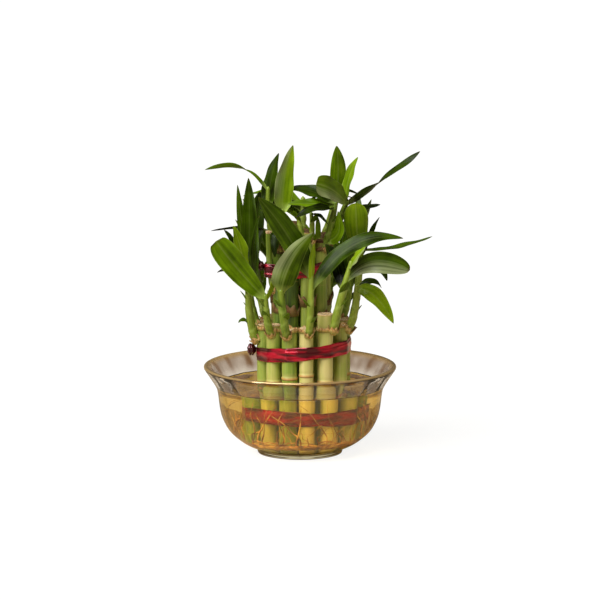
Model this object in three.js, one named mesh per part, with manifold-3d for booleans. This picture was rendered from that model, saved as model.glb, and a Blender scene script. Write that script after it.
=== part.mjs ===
// Lucky bamboo: two tiers of cut canes tied with ribbon, standing in a glass bowl of water.
// Millimetres, +Z up. The origin is on the bowl's axis, at the flat underside of its foot.
// Azimuths are in degrees round the bundle: 0 is the front (-Y), 90 the right (+X).
import * as THREE from 'three';
import { mergeVertices } from 'three/addons/utils/BufferGeometryUtils.js';
import Module from 'manifold-3d';

const wasm = await Module();
wasm.setup();

// Bowl: pressed glass with flat optic panels inside, a flared rim and a low solid foot
const RIM_RADIUS = 70.2;
const RIM_HEIGHT = 64.5;
const FOOT_RADIUS = 31;
const BOWL_SIDES = 40;
const PANELS = 20;
const BOWL_OUTSIDE = [
  [0, 0], [FOOT_RADIUS - 0.8, 0], [FOOT_RADIUS, 0.8], [FOOT_RADIUS, 3.4], [32.4, 4], [39.8, 7.1],
  [45.9, 11.3], [52.1, 17], [56.1, 24.3], [58.4, 31.6], [59.9, 45.2], [61.2, 49.3], [65.3, 55.6],
  [69.2, 61.4], [RIM_RADIUS, 63], [69.9, 64.2], [68.9, RIM_HEIGHT], [0, RIM_HEIGHT],
];
const BOWL_INSIDE = [
  [0, 6], [24, 6], [31, 6.8], [38, 9.6], [44, 13.6], [49.8, 19.2], [53.4, 26], [55.6, 33], [57.1, 46],
  [58.6, 50.6], [63, 57.2], [67.6, RIM_HEIGHT], [68.2, RIM_HEIGHT + 3], [0, RIM_HEIGHT + 3],
];

// Water: up to the shoulder, with one plain hole that the bundle and its roots stand in
const WATER_LEVEL = 50;
const WATER_FLOOR = 16.5;
const WATER_HOLE = 41.7;
const GAP = 0.35;

// Canes: an outer tier of short ones round a taller tier, all tied upright
const BUNDLE_X = 2.5;
const OUTER_REACH = 34.3;
const OUTER_TOP = 97;
const OUTER_SIDES = 10;
const INNER_X = 0.5;
const INNER_RING = 16.1;
const CORE_RING = 5.95;
const INNER_SIDES = 8;
const INNER_TOP = 160;
const INNER_RADIUS = 5.1;
const NODE_SWELL = 0.25;
const NODE_HALF = 1.6;
const LEAN_PER_MM = 0.0062;
const OUTER_SPROUT = 30;
const INNER_SPROUT = 24;

// Ribbons: flat foil ribbon, pulled tight round the canes
const RIBBON_WIDTH = 10;
const RIBBON_THICKNESS = 0.8;
const RIBBON_STEPS = 48;
const LOWER_TIE = 33;
const MIDDLE_TIE = 77;
const UPPER_TIE = 138.5;
const KNOT_RADIUS = 3.6;
const KNOT_PLACE = [-35.3, -4, 77];
const SMALL_KNOT_RADIUS = 2.8;
const SMALL_KNOT_PLACE = [-28.3, -9, 139.4];

// Roots
const ROOT_STRANDS = 16;

// Leaves: lance-shaped blades, channelled along the midrib
const BLADE_STATIONS = [0, 0.14, 0.38, 0.7];
const BLUNT_STATIONS = [0, 0.14, 0.38, 0.7, 0.94];
const SCALE_STATIONS = [0, 0.45];
const BLADE_THICKNESS = 1.2;
const BLADE_CHANNEL = 0.2;
const SUNK = 0.94;
const LEAF_CLEARANCE = 3;
const DRAWS = 500;
const CROWN_RADIUS = 82;
const CROWN_HALF_WIDTH = 50;
const CROWN_TOP = 196;
const CROWN_SLOPE = 0.19;
const CROWN_BASE = 112;

// Shapes of a leaf: how fast it widens from its foot and narrows to its point
const NARROW = [0.7, 0.8];
const CLASPING = [0.4, 0.8];
const OVAL = [1.1, 0.5];
const BLUNT = [0.6, 0.22];

const COLOURS = {
  glass: [0xb9a796, 0.05, 0],
  water: [0xb08a3a, 0.05, 0],
  ribbon: [0x8a0018, 0.25, 0.6],
  roots: [0xb5651d, 0.8, 0],
  plant: [0x5f8a24, 0.45, 0],
};

// Small vector helpers on plain arrays
const add = (a, b, s = 1) => [a[0] + b[0] * s, a[1] + b[1] * s, a[2] + b[2] * s];
const mix = (a, b, t) => [0, 1, 2].map((k) => a[k] + (b[k] - a[k]) * t);
const dot = (a, b) => a[0] * b[0] + a[1] * b[1] + a[2] * b[2];
const cross = (a, b) => [a[1] * b[2] - a[2] * b[1], a[2] * b[0] - a[0] * b[2], a[0] * b[1] - a[1] * b[0]];
const unit = (a) => a.map((v) => v / Math.hypot(...a));
const radians = (degrees) => (degrees * Math.PI) / 180;
const round = (azimuth, reach, z, x = 0) => {
  const angle = radians(azimuth);
  return [x + reach * Math.sin(angle), -reach * Math.cos(angle), z];
};

// Point and direction on a quadratic Bezier curve with the ends a and c and the control point b
const bezier = ([a, b, c], t) => mix(mix(a, b, t), mix(b, c, t), t);
const heading = ([a, b, c], t) => unit(mix(add(b, a, -1), add(c, b, -1), t));

// Repeatable random numbers from 0 to 1, a linear congruential generator
function dice(seed) {
  let state = seed;
  return () => {
    state = (Math.imul(state, 1664525) + 1013904223) >>> 0;
    return state / 4294967296;
  };
}

// Closed solid from points and triangles
function solid(points, triangles) {
  const mesh = new wasm.Mesh({
    numProp: 3,
    vertProperties: new Float32Array(points.flat()),
    triVerts: new Uint32Array(triangles.flat()),
  });
  return new wasm.Manifold(mesh);
}

// Closed solid through rings of points that all turn the same way; an end of one point closes to a tip
function loft(rings) {
  const points = rings.flat();
  const triangles = [];
  let start = 0;
  for (let i = 0; i + 1 < rings.length; i += 1) {
    const here = rings[i].length;
    const next = rings[i + 1].length;
    const sides = Math.max(here, next);
    for (let k = 0; k < sides; k += 1) {
      const a = start + (here > 1 ? k : 0);
      const b = start + (here > 1 ? (k + 1) % here : 0);
      const c = start + here + (next > 1 ? (k + 1) % next : 0);
      const d = start + here + (next > 1 ? k : 0);
      if (here > 1) triangles.push([a, b, c]);
      if (next > 1) triangles.push([a, c, d]);
    }
    start += here;
  }
  for (let k = 1; k + 1 < rings[0].length; k += 1) triangles.push([0, k + 1, k]);
  const last = rings[rings.length - 1].length;
  for (let k = 1; k + 1 < last; k += 1) triangles.push([start, start + k, start + k + 1]);
  return solid(points, triangles);
}

// Closed solid from a three.js geometry, its faces turned outward
function solidOf(geometry) {
  geometry.deleteAttribute('normal');
  geometry.deleteAttribute('uv');
  const merged = mergeVertices(geometry, 1e-4);
  const places = new Float32Array(merged.getAttribute('position').array);
  const faces = new Uint32Array(merged.index.array);
  const body = new wasm.Manifold(new wasm.Mesh({ numProp: 3, vertProperties: places, triVerts: faces }));
  if (body.volume() > 0) return body;
  return new wasm.Manifold(new wasm.Mesh({ numProp: 3, vertProperties: places, triVerts: faces.reverse() }));
}

// Solid of revolution from [radius, height] pairs
function revolve(profile, sides, turn = 0) {
  const lathe = new THREE.LatheGeometry(profile.map(([r, z]) => new THREE.Vector2(r, z)), sides);
  return solidOf(lathe.rotateX(Math.PI / 2).rotateZ(turn));
}

// Round tube along a list of points, with a radius at each
function tube(path, radii, sides) {
  let side = [0.6, 0.8, 0];
  const rings = path.map((point, i) => {
    const along = unit(add(path[Math.min(i + 1, path.length - 1)], path[Math.max(i - 1, 0)], -1));
    side = unit(add(side, along, -dot(side, along)));
    const front = cross(along, side);
    return Array.from({ length: sides }, (_, k) => {
      const angle = (2 * Math.PI * k) / sides;
      return add(add(point, side, radii[i] * Math.cos(angle)), front, radii[i] * Math.sin(angle));
    });
  });
  return loft(rings);
}

const unite = (bodies) => bodies.reduce((whole, body) => whole.add(body));

// Bowl
function bowl() {
  const outside = revolve(BOWL_OUTSIDE, BOWL_SIDES);
  const inside = revolve(BOWL_INSIDE, PANELS, Math.PI / PANELS);
  return outside.subtract(inside);
}

// Radius of the bowl's inside at a height
function insideRadius(z) {
  const above = BOWL_INSIDE.findIndex(([, height], i) => i > 1 && height >= z);
  const [[r0, z0], [r1, z1]] = [BOWL_INSIDE[above - 1], BOWL_INSIDE[above]];
  return r0 + ((r1 - r0) * (z - z0)) / (z1 - z0);
}

// Height of the bowl's inside at a radius, at the middle of a flat panel, where it is highest
function insideHeight(radius) {
  const corner = radius / Math.cos(Math.PI / PANELS);
  const beyond = BOWL_INSIDE.findIndex(([r], i) => i > 1 && r >= corner);
  const [[r0, z0], [r1, z1]] = [BOWL_INSIDE[beyond - 1], BOWL_INSIDE[beyond]];
  return z0 + ((z1 - z0) * (corner - r0)) / (r1 - r0);
}

// Water: follows the inside of the glass, a gap away
function water() {
  const walls = [WATER_FLOOR, 19.2, 26, 33, 46, WATER_LEVEL].map((z) => [insideRadius(z) - GAP, z]);
  const body = revolve([[0, WATER_FLOOR], ...walls, [0, WATER_LEVEL]], PANELS, Math.PI / PANELS);
  const hole = revolve([[0, 0], [WATER_HOLE, 0], [WATER_HOLE, RIM_HEIGHT], [0, RIM_HEIGHT]], 26);
  return body.subtract(hole.translate([BUNDLE_X, 0, 0]));
}

// One cane: round, a little swollen at its nodes, cut flat at both ends
function cane({ foot, head, radius, nodes, sides }) {
  const heights = [foot[2]];
  const radii = [radius];
  for (const z of nodes) {
    heights.push(z - NODE_HALF, z, z + NODE_HALF);
    radii.push(radius, radius + NODE_SWELL, radius - NODE_SWELL / 2);
  }
  heights.push(head[2] - 0.8, head[2]);
  radii.push(radius, radius - 0.5);
  const rings = heights.map((z, i) => {
    const middle = mix(foot, head, (z - foot[2]) / (head[2] - foot[2]));
    return Array.from({ length: sides }, (_, k) => {
      const angle = (2 * Math.PI * k) / sides;
      return [middle[0] + radii[i] * Math.cos(angle), middle[1] + radii[i] * Math.sin(angle), z];
    });
  });
  return loft(rings);
}

// Half width of a blade along its length: its shape's powers make it widest at their balance
function halfWidth({ wide, shape: [widens, narrows] = NARROW }, t) {
  const peak = widens / (widens + narrows);
  return (wide / 2) * ((t + 0.03) / peak) ** widens * ((1 - t) / (1 - peak)) ** narrows;
}

// Points across a blade at one place along it: left edge, midrib on top, right edge, midrib below
function bladeSection(leaf, t) {
  const middle = bezier(leaf.curve, t);
  const along = heading(leaf.curve, t);
  const { side, up } = bladeFrame(leaf, along, leaf.twist ?? 0, t);
  const half = halfWidth(leaf, t);
  const thick = BLADE_THICKNESS * (1 - 0.4 * t);
  const edge = add(middle, up, half * BLADE_CHANNEL + thick / 2);
  return [add(edge, side, -half), add(middle, up, thick), add(edge, side, half), middle];
}

// Sideways and upward directions of a blade, turned about the midrib by its roll and by its twist, which goes
// from half of it one way at the base to half the other way at the tip
function bladeFrame(leaf, along, twist, t) {
  const [base, , tip] = leaf.curve;
  const reach = [tip[0] - base[0], tip[1] - base[1]];
  const flat = unit([-reach[1], reach[0], 0]);
  const level = unit(add(flat, along, -dot(flat, along)));
  const above = cross(along, level);
  const roll = radians(leaf.roll + twist * (t - 0.5));
  const side = add(level.map((v) => v * Math.cos(roll)), above, Math.sin(roll));
  return { side, up: cross(along, side) };
}

// Blade from its sections to a sharp tip
function blade(leaf, stations = leaf.shape === BLUNT ? BLUNT_STATIONS : BLADE_STATIONS) {
  const rings = stations.map((t) => bladeSection(leaf, t).reverse());
  return loft([...rings, [bezier(leaf.curve, 1)]]);
}

// Round points of a ribbon pulled tight round canes: in each direction, the outside of the cane that
// reaches furthest
function tight(canes, z, steps, clear) {
  return Array.from({ length: steps }, (_, i) => {
    const angle = (2 * Math.PI * i) / steps;
    const away = [Math.cos(angle), Math.sin(angle), 0];
    let best = null;
    for (const { foot, head, radius } of canes) {
      const middle = mix(foot, head, (z - foot[2]) / (head[2] - foot[2]));
      const reach = dot(middle, away) + radius;
      if (!best || reach > best.reach) best = { reach, middle, radius };
    }
    return add(best.middle, away, best.radius + clear);
  });
}

// Flat ribbon round the bundle, with the height of its middle at each direction
function ribbon(canes, z, height) {
  const inner = tight(canes, z, RIBBON_STEPS, GAP + 0.05);
  const outer = tight(canes, z, RIBBON_STEPS, GAP + 0.05 + RIBBON_THICKNESS);
  const points = [];
  for (let i = 0; i < RIBBON_STEPS; i += 1) {
    const middle = height((2 * Math.PI * i) / RIBBON_STEPS);
    for (const [ring, half] of [[inner, -1], [outer, -1], [outer, 1], [inner, 1]]) {
      points.push([ring[i][0], ring[i][1], middle + (half * RIBBON_WIDTH) / 2]);
    }
  }
  const triangles = [];
  for (let i = 0; i < RIBBON_STEPS; i += 1) {
    const next = (i + 1) % RIBBON_STEPS;
    for (let k = 0; k < 4; k += 1) {
      const [a, b] = [i * 4 + k, i * 4 + ((k + 1) % 4)];
      const [c, d] = [next * 4 + ((k + 1) % 4), next * 4 + k];
      triangles.push([a, c, b], [a, d, c]);
    }
  }
  return solid(points, triangles);
}

// Height of each ribbon's middle, by the angle round the bundle from the right: none is tied quite level
const lowerMiddle = (angle) => LOWER_TIE + 0.8 * Math.sin(2 * angle);
const middleMiddle = (angle) => MIDDLE_TIE + 3 * Math.cos(angle) - 1.6 * Math.sin(angle);
const upperMiddle = (angle) => UPPER_TIE + 1.5 * Math.cos(angle) + 1.8 * Math.sin(angle);

// Knot of a ribbon, on the left
function knot(place, radius) {
  const ball = new THREE.IcosahedronGeometry(radius, 1).scale(1, 0.9, 1.3);
  return solidOf(ball).translate(place);
}

// Outer canes, from the left round the front to the back
const OUTER = [
  {
    azimuth: -78, radius: 5.4, nodes: [52, 93],
    shoots: [{
      curve: [[-29.8, -7, 83.5], [-36.6, -7.5, 86.5], [-37.7, -12, 125]], girth: 3.2,
      leaves: [
        { at: 1, curve: [[-41, -18, 151], [-48.3, -16, 170]], wide: 11.5, roll: -75 },
        { at: 0.98, curve: [[-36, -9, 169], [-37.3, -2, 203]], wide: 14, roll: 5, shape: CLASPING },
        { at: 0.9, curve: [[-46.5, -2, 141], [-60.3, 4, 132]], wide: 5, roll: 38 },
        { at: 0.5, curve: [[-41.4, -10, 103], [-44.6, -10, 97.4]], wide: 4, roll: -30 },
      ],
      scales: [[0.73, -90, 6], [0.83, -90, 8.5]],
    }],
  },
  {
    azimuth: -48, radius: 5.4, nodes: [56, 94],
    shoots: [{
      curve: [[-20, -22, 90], [-24.5, -29, 98], [-25, -32, 122]], girth: 2.8,
      leaves: [
        { at: 1, curve: [[-44, -38, 139], [-60.4, -38, 162.5]], wide: 18.5, roll: -85, shape: BLUNT },
        { at: 0.9, curve: [[-18, -40, 133.7], [-13.3, -44, 147.5]], wide: 5, roll: 0 },
        { at: 0.98, curve: [[-40.4, -26, 145], [-29, -18, 178]], wide: 9, roll: -75 },
      ],
      scales: [[0.5, -30, 9], [0.75, -80, 9]],
    }],
  },
  {
    azimuth: -20.5, radius: 5.7, nodes: [60, 95],
    shoots: [{
      curve: [[-9, -31, 90], [-12, -39, 99], [-13.8, -41, 127]], girth: 3.1,
      leaves: [
        { at: 1, curve: [[-11.5, -52, 149.6], [10, -51, 171]], wide: 18, roll: -62, shape: CLASPING },
      ],
      scales: [[0.45, 30, 9], [0.7, -60, 10]],
    }],
  },
  {
    azimuth: 4, radius: 5.2, nodes: [62.5, 95],
    shoots: [{
      curve: [[6, -32, 91], [7.5, -38.5, 100], [8, -39, 138]], girth: 2.6,
      leaves: [
        { at: 1, curve: [[-6.5, -44, 170], [-30, -48, 196]], wide: 18, roll: 64 },
        { at: 0.95, curve: [[8.6, -44, 149.7], [10.4, -44, 162]], wide: 5, roll: 0 },
        { at: 0.85, curve: [[32.4, -26, 170], [74.7, -20, 161.3]], wide: 13, roll: 40 },
      ],
      scales: [[0.3, 60, 9], [0.6, -60, 9]],
    }],
  },
  {
    azimuth: 33.5, radius: 5.7, top: 107, nodes: [57, 95],
    shoots: [{
      curve: [[24, -27, 92.5], [26, -33, 109.7], [37.4, -36, 147]], girth: 3.1,
      leaves: [
        { at: 0.8, curve: [[44.5, -43, 157.5], [79, -42, 142]], wide: 15.5, roll: 80, shape: OVAL },
        { at: 0.7, curve: [[28.8, -22, 147.3], [18, -20, 157.2]], wide: 10, roll: -45 },
        { at: 1, curve: [[39.5, -45, 150], [47.2, -48, 160]], wide: 9, roll: 60 },
      ],
      scales: [[0.4, 70, 10], [0.62, 30, 12]],
    }],
  },
  {
    azimuth: 66, radius: 5.5, nodes: [54, 96],
    shoots: [{
      curve: [[33.4, -12.5, 91.3], [40.6, -15, 99], [41.2, -17, 126]], girth: 2.9,
      leaves: [
        { at: 1, curve: [[54.2, -22, 127], [67.7, -21, 99]], wide: 12, roll: 60 },
        { at: 0.95, curve: [[51.4, -10, 135], [59, -9, 123]], wide: 6, roll: 38 },
      ],
      scales: [[0.4, 90, 5], [0.55, 90, 5], [0.7, 80, 5]],
    }],
  },
  {
    azimuth: 96, radius: 5.4, nodes: [58, 94],
    shoots: [{
      curve: [[33.5, 3, 87.6], [41.5, 4, 95.6], [45, 3, 155]], girth: 2.9,
      leaves: [
        { at: 1, curve: [[74, 5, 148.6], [96.3, 6, 158.4]], wide: 8, roll: 10 },
        { at: 0.84, curve: [[58.8, 0, 143.6], [63.2, 0, 126.6]], wide: 8, roll: 45 },
        { at: 0.93, curve: [[49.5, 10, 156.6], [58, 15, 171.3]], wide: 7, roll: -10 },
        { at: 0.9, curve: [[49.3, 0, 160.5], [47, -2, 183.6]], wide: 7, roll: 30 },
        { at: 0.88, curve: [[40.5, -13, 168], [40.2, -13, 186]], wide: 17.5, roll: 15, shape: OVAL },
      ],
      scales: [[0.35, 90, 9]],
    }],
  },
  { azimuth: 124, radius: 5.5, nodes: [61, 95], spread: 6 },
  { azimuth: 152, radius: 5.3, nodes: [55, 94], spread: 5 },
  { azimuth: 178, radius: 5.5, nodes: [59, 96], spread: 6 },
  { azimuth: -152, radius: 5.2, nodes: [53, 95], spread: 5 },
  { azimuth: -128, radius: 5.3, nodes: [57, 94], spread: 6 },
  {
    azimuth: -103, radius: 5.4, nodes: [60, 95],
    shoots: [{
      curve: [[-28, 7, 90], [-36, 8.5, 98], [-38.5, 9, 134]], girth: 2.7,
      leaves: [
        { at: 1, curve: [[-42, 5, 162], [-45.3, 4, 197]], wide: 6.5, roll: 60 },
        { at: 0.9, curve: [[-45.2, 16, 150.4], [-55.4, 20, 161]], wide: 7, roll: -15 },
        { at: 0.97, curve: [[-33, 14, 166], [-29, 12, 191]], wide: 14, roll: 60 },
      ],
      scales: [[0.5, -100, 9]],
    }],
  },
];

// Taller canes inside the outer tier
const INNER = [
  {
    azimuth: -23, nodes: [105, 152],
    shoots: [{
      curve: [[-8, -18, 149], [-10, -23, 160], [-9, -24, 176]], girth: 2.1,
      leaves: [
        { at: 1, curve: [[-18, -20, 171], [-27.4, -18, 185.5]], wide: 12, roll: -60 },
      ],
      scales: [[0.5, 0, 8], [0.8, -60, 8]],
    }],
  },
  {
    azimuth: 17, nodes: [112, 160], top: 166,
    shoots: [
      {
        curve: [[3.5, -17, 156], [1, -21, 166], [-1.5, -20, 178]], girth: 2.1,
        leaves: [],
        scales: [[0.8, -40, 9]],
      },
      {
        curve: [[8, -17, 156], [9.5, -21, 166], [8, -21, 180]], girth: 2,
        leaves: [
          { at: 0.15, curve: [[16.5, -23, 160], [11.9, -22, 180]], wide: 6, roll: 0 },
          { at: 1, curve: [[13, -26, 182], [20, -28, 173]], wide: 4, roll: 15 },
        ],
        scales: [[0.7, 40, 9]],
      },
    ],
  },
  {
    azimuth: 57, nodes: [100, 152],
    shoots: [{
      curve: [[16, -10.5, 149], [22, -14, 164], [26, -15, 187]], girth: 2.6,
      leaves: [
        { at: 0.92, curve: [[13.7, -27, 188.4], [-2.9, -31, 178.5]], wide: 9, roll: -22 },
        { at: 0.97, curve: [[10, -16, 187.3], [-8.7, -17, 186]], wide: 9, roll: -35 },
        { at: 1, curve: [[13, -8, 196.3], [-8.7, -8, 195.6]], wide: 12, roll: -32 },
        { at: 0.3, curve: [[32.5, -20, 161.7], [27.4, -19, 181.3]], wide: 10.5, roll: 90 },
      ],
      scales: [[0.6, 60, 9]],
    }],
  },
  {
    azimuth: 97, nodes: [110, 153],
    shoots: [{
      curve: [[18, 1.5, 150], [27, -1, 166], [34, -7, 187]], girth: 2.8,
      leaves: [
        { at: 1, curve: [[26, -25, 199], [11.5, -35, 203.5]], wide: 16, roll: -88, shape: BLUNT },
        { at: 0.97, curve: [[33.2, -8, 203.6], [42, -10, 219.3]], wide: 9.5, roll: 60 },
        { at: 0.95, curve: [[59.3, -5, 199.5], [87, -4, 222.7]], wide: 9.5, roll: -5, twist: 150 },
        { at: 0.85, curve: [[49.3, 3, 180.6], [58.4, 5, 182]], wide: 4.5, roll: 42 },
      ],
      scales: [[0.5, 90, 9]],
    }],
  },
  {
    azimuth: 137, nodes: [103, 152], spread: 3,
    shoots: [{
      curve: [[13.5, 13, 149], [21, 15, 164], [27, 9, 189]], girth: 2.6,
      leaves: [
        { at: 1, curve: [[29, 4, 206], [26.4, 0, 226]], wide: 11.5, roll: 0 },
      ],
      scales: [[0.5, 130, 9]],
    }],
  },
  { azimuth: 177, nodes: [108, 153], spread: 6 },
  { azimuth: -143, nodes: [101, 151], spread: 6 },
  {
    azimuth: -103, nodes: [111, 153], top: 161,
    shoots: [{
      curve: [[-17.4, 4, 150], [-24, 5, 167], [-23.2, 4, 194.4]], girth: 2.4,
      leaves: [
        { at: 1, curve: [[-39, 7, 218], [-69.3, 8, 207]], wide: 6, roll: 24, twist: 150 },
        { at: 0.75, curve: [[-22.5, 3, 200.4], [-15.2, 5, 220]], wide: 12.5, roll: 45, shape: CLASPING },
        { at: 0.35, curve: [[-41.4, 10.5, 166], [-65, 12, 161.4]], wide: 4, roll: 42 },
      ],
      scales: [[0.5, -90, 9]],
    }],
  },
  {
    azimuth: -63, nodes: [106, 150],
    shoots: [
      {
        curve: [[-16.5, -8, 120], [-22.8, -9, 122], [-22.6, -9, 165]], girth: 2.4, cut: true,
        leaves: [], scales: [],
      },
      {
        curve: [[-14, -10, 149], [-15.5, -14, 168], [-12.5, -13, 181]], girth: 2.5,
        leaves: [
          { at: 1, curve: [[-13.6, -11, 203], [-5, -3, 227]], wide: 14.5, roll: 60, shape: CLASPING },
          { at: 0.42, curve: [[-19, -18, 168], [-18, -19, 147]], wide: 8, roll: 0 },
        ],
        scales: [[0.5, -30, 8]],
      },
    ],
  },
];

// Canes in the middle of the bundle; only one has a shoot
const CORE = [
  { azimuth: -110, nodes: [120, 165], top: 170, spread: 4 },
  { azimuth: 10, nodes: [118, 155], top: 161, shoots: [] },
  { azimuth: 130, nodes: [121, 154], top: 160, shoots: [] },
];

// Middle line of each cane: the outer ones stand upright, the inner ones spread a little as they rise
function placeOuter({ azimuth, radius, nodes, top = OUTER_TOP + 1.5 * Math.sin(radians(5 * azimuth)) }) {
  const reach = OUTER_REACH - radius;
  const foot = round(azimuth, reach, insideHeight(OUTER_REACH + BUNDLE_X) + GAP / 2, BUNDLE_X);
  return { foot, head: [foot[0], foot[1], top], radius, nodes, sides: OUTER_SIDES, sprout: OUTER_SPROUT };
}

function placeInner({ azimuth, nodes, top = INNER_TOP + 2 * Math.cos(radians(4 * azimuth)) }, reach) {
  const lean = LEAN_PER_MM * top;
  const foot = round(azimuth, reach, BOWL_INSIDE[0][1] + GAP, INNER_X);
  const head = round(azimuth, reach + lean, top, INNER_X);
  return { foot, head, radius: INNER_RADIUS, nodes, sides: INNER_SIDES, sprout: INNER_SPROUT };
}

// Points spread over a blade, to tell how near others come
function bladePoints(leaf) {
  const points = [];
  for (let i = 1; i <= 14; i += 1) {
    const t = i / 14;
    const middle = bezier(leaf.curve, t);
    const { side } = bladeFrame(leaf, heading(leaf.curve, t), 0, t);
    const half = halfWidth(leaf, t);
    for (const across of [-1, -0.5, 0, 0.5, 1]) points.push(add(middle, side, half * across));
  }
  return points;
}

// Points down the middle of a shoot or cane, each with the reach that leaves keep from it
function linePoints(curve, reach, count, plant) {
  return Array.from({ length: count + 1 }, (_, i) => ({ at: bezier(curve, i / count), reach, plant }));
}

// Whether a leaf stands clear of all points placed before, apart from those of its own shoot near its base
function standsClear(points, placed, own) {
  for (let i = 0; i < points.length; i += 1) {
    for (const other of placed) {
      if (other.plant === own && i < 35) continue;
      if (Math.hypot(...add(points[i], other.at, -1)) < other.reach) return false;
    }
  }
  return true;
}

// Shoot on a cane that has none stated: rises beside the cane's head and leans outward
function ownShoot(canePlace, azimuth, random) {
  const away = round(azimuth, 1, 0);
  const start = canePlace.nodes[1] - 2;
  const height = canePlace.sprout + 12 * random();
  const from = add([canePlace.head[0], canePlace.head[1], start], away, canePlace.radius - 1);
  const elbow = add([from[0], from[1], start + 8], away, 5.5);
  const top = add([elbow[0], elbow[1], start + height], away, 3 + 3 * random());
  return { curve: [from, elbow, top], girth: 2.4 + 0.5 * random(), leaves: [], scales: [[0.5, azimuth, 9]] };
}

// Whether a point is inside the crown's outline
function inCrown([x, y, z]) {
  const near = Math.hypot(x, y) < CROWN_RADIUS && Math.abs(x - BUNDLE_X) < CROWN_HALF_WIDTH;
  return near && z + CROWN_SLOPE * y < CROWN_TOP && z > CROWN_BASE;
}

// Leaves fanned round a shoot by rule: each is the first of many draws that stands clear of all others
function fanLeaves(shoot, azimuth, count, placed, plant, random) {
  for (let n = 0; n < count; n += 1) {
    for (let draw = 0; draw < DRAWS; draw += 1) {
      const at = SUNK * (1 - 0.1 * n * random());
      const turn = azimuth + (n % 2 ? 1 : -1) * (20 + 75 * random());
      const long = 48 + 24 * random();
      const rise = radians(38 + 46 * random());
      const fall = radians(-25 + 90 * random());
      const base = bezier(shoot.curve, at);
      const out = round(turn, 1, 0);
      const bend = add(add(base, out, 0.5 * long * Math.cos(rise)), [0, 0, 1], 0.5 * long * Math.sin(rise));
      const tip = add(add(bend, out, 0.55 * long * Math.cos(fall)), [0, 0, 1], 0.55 * long * Math.sin(fall));
      const leaf = { at, curve: [base, bend, tip], wide: 11 + 5 * random(), roll: 50 * (random() - 0.5) };
      const points = bladePoints(leaf);
      if (points.every(inCrown) && standsClear(points, placed, plant)) {
        shoot.leaves.push(leaf);
        placed.push(...points.map((point) => ({ at: point, reach: LEAF_CLEARANCE, plant })));
        break;
      }
    }
  }
}

// Small dry scale leaf on a shoot, standing off it
function scaleLeaf(shoot, [at, azimuth, long]) {
  const base = bezier(shoot.curve, at);
  const out = round(azimuth, 1, 0);
  const bend = add(add(base, out, 0.45 * long), [0, 0, 1], 0.5 * long);
  const tip = add(add(base, out, 0.75 * long), [0, 0, 1], long);
  return { curve: [base, bend, tip], wide: 0.62 * long, roll: 0 };
}

// Stem of a shoot: sheathed, so a little thicker below each joint
function stem(shoot) {
  const places = [0, 0.25, 0.45, 0.49, 0.72, 0.76, 1];
  const swell = [1, 1, 1.08, 0.9, 1.04, 0.84, shoot.cut ? 0.95 : 0.62];
  return tube(places.map((t) => bezier(shoot.curve, t)), swell.map((s) => s * shoot.girth), 6);
}

// One whole plant: a cane with its shoots, leaves and scale leaves
function plantBody(place, shoots) {
  const bodies = [cane(place)];
  for (const shoot of shoots) {
    bodies.push(stem(shoot));
    for (const leaf of shoot.leaves) bodies.push(blade(leaf));
    for (const scale of shoot.scales) bodies.push(blade(scaleLeaf(shoot, scale), SCALE_STATIONS));
  }
  return unite(bodies);
}

// Plants: stated shoots and leaves first, then the ones placed by rule clear of them
function growAll() {
  const random = dice(11);
  const plants = [
    ...OUTER.map((spec, i) => ({ spec, name: `stalk_outer_${i + 1}`, place: placeOuter(spec) })),
    ...INNER.map((spec, i) => ({ spec, name: `stalk_inner_${i + 1}`, place: placeInner(spec, INNER_RING) })),
    ...CORE.map((spec, i) => ({ spec, name: `stalk_core_${i + 1}`, place: placeInner(spec, CORE_RING) })),
  ];
  const placed = [];
  for (const plant of plants) {
    const { foot, head, radius } = plant.place;
    placed.push(...linePoints([foot, mix(foot, head, 0.5), head], radius + 2, 40, plant.name));
    plant.shoots = plant.spec.shoots ?? [ownShoot(plant.place, plant.spec.azimuth, random)];
    for (const shoot of plant.shoots) {
      placed.push(...linePoints(shoot.curve, shoot.girth + 1.6, 12, plant.name));
      for (const leaf of shoot.leaves) {
        leaf.curve.unshift(bezier(shoot.curve, SUNK * leaf.at));
        placed.push(...bladePoints(leaf).map((at) => ({ at, reach: LEAF_CLEARANCE, plant: plant.name })));
      }
    }
  }
  for (const plant of plants) {
    const { azimuth, spread } = plant.spec;
    if (spread) fanLeaves(plant.shoots[0], azimuth, spread, placed, plant.name, random);
  }
  return plants;
}

// Roots: a low mat round the foot of the bundle, with strands that climb the canes
function roots() {
  const random = dice(5);
  const mat = [[35, 11.3], [37.8, 11.8], [40.2, 13.9], [40.4, 15], [38, 16.8], [35.4, 15.6], [35, 11.3]];
  const bodies = [revolve(mat, 26)];
  for (let i = 0; i < ROOT_STRANDS; i += 1) {
    const start = (i / ROOT_STRANDS) * 360 + 10 * random();
    const drift = 50 * (random() - 0.5);
    const top = 30 + 17 * random();
    const wave = 3 + 4 * random();
    const path = Array.from({ length: 6 }, (_, k) => {
      const t = k / 5;
      return round(start + drift * t * t, 38.2 + 1.2 * Math.sin(wave * t), 14 + (top - 14) * t);
    });
    bodies.push(tube(path, path.map((_, k) => 0.85 - 0.06 * k), 3));
  }
  return unite(bodies).translate([BUNDLE_X, 0, 0]);
}

// Named mesh with its own material
function toMesh(name, body, [colour, roughness, metalness], extra = {}) {
  const { vertProperties, triVerts } = body.getMesh();
  const geometry = new THREE.BufferGeometry();
  geometry.setAttribute('position', new THREE.BufferAttribute(vertProperties, 3));
  geometry.setIndex(new THREE.BufferAttribute(triVerts, 1));
  const material = new THREE.MeshStandardMaterial({ color: colour, roughness, metalness, ...extra });
  const mesh = new THREE.Mesh(geometry, material);
  mesh.name = name;
  return mesh;
}

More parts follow.
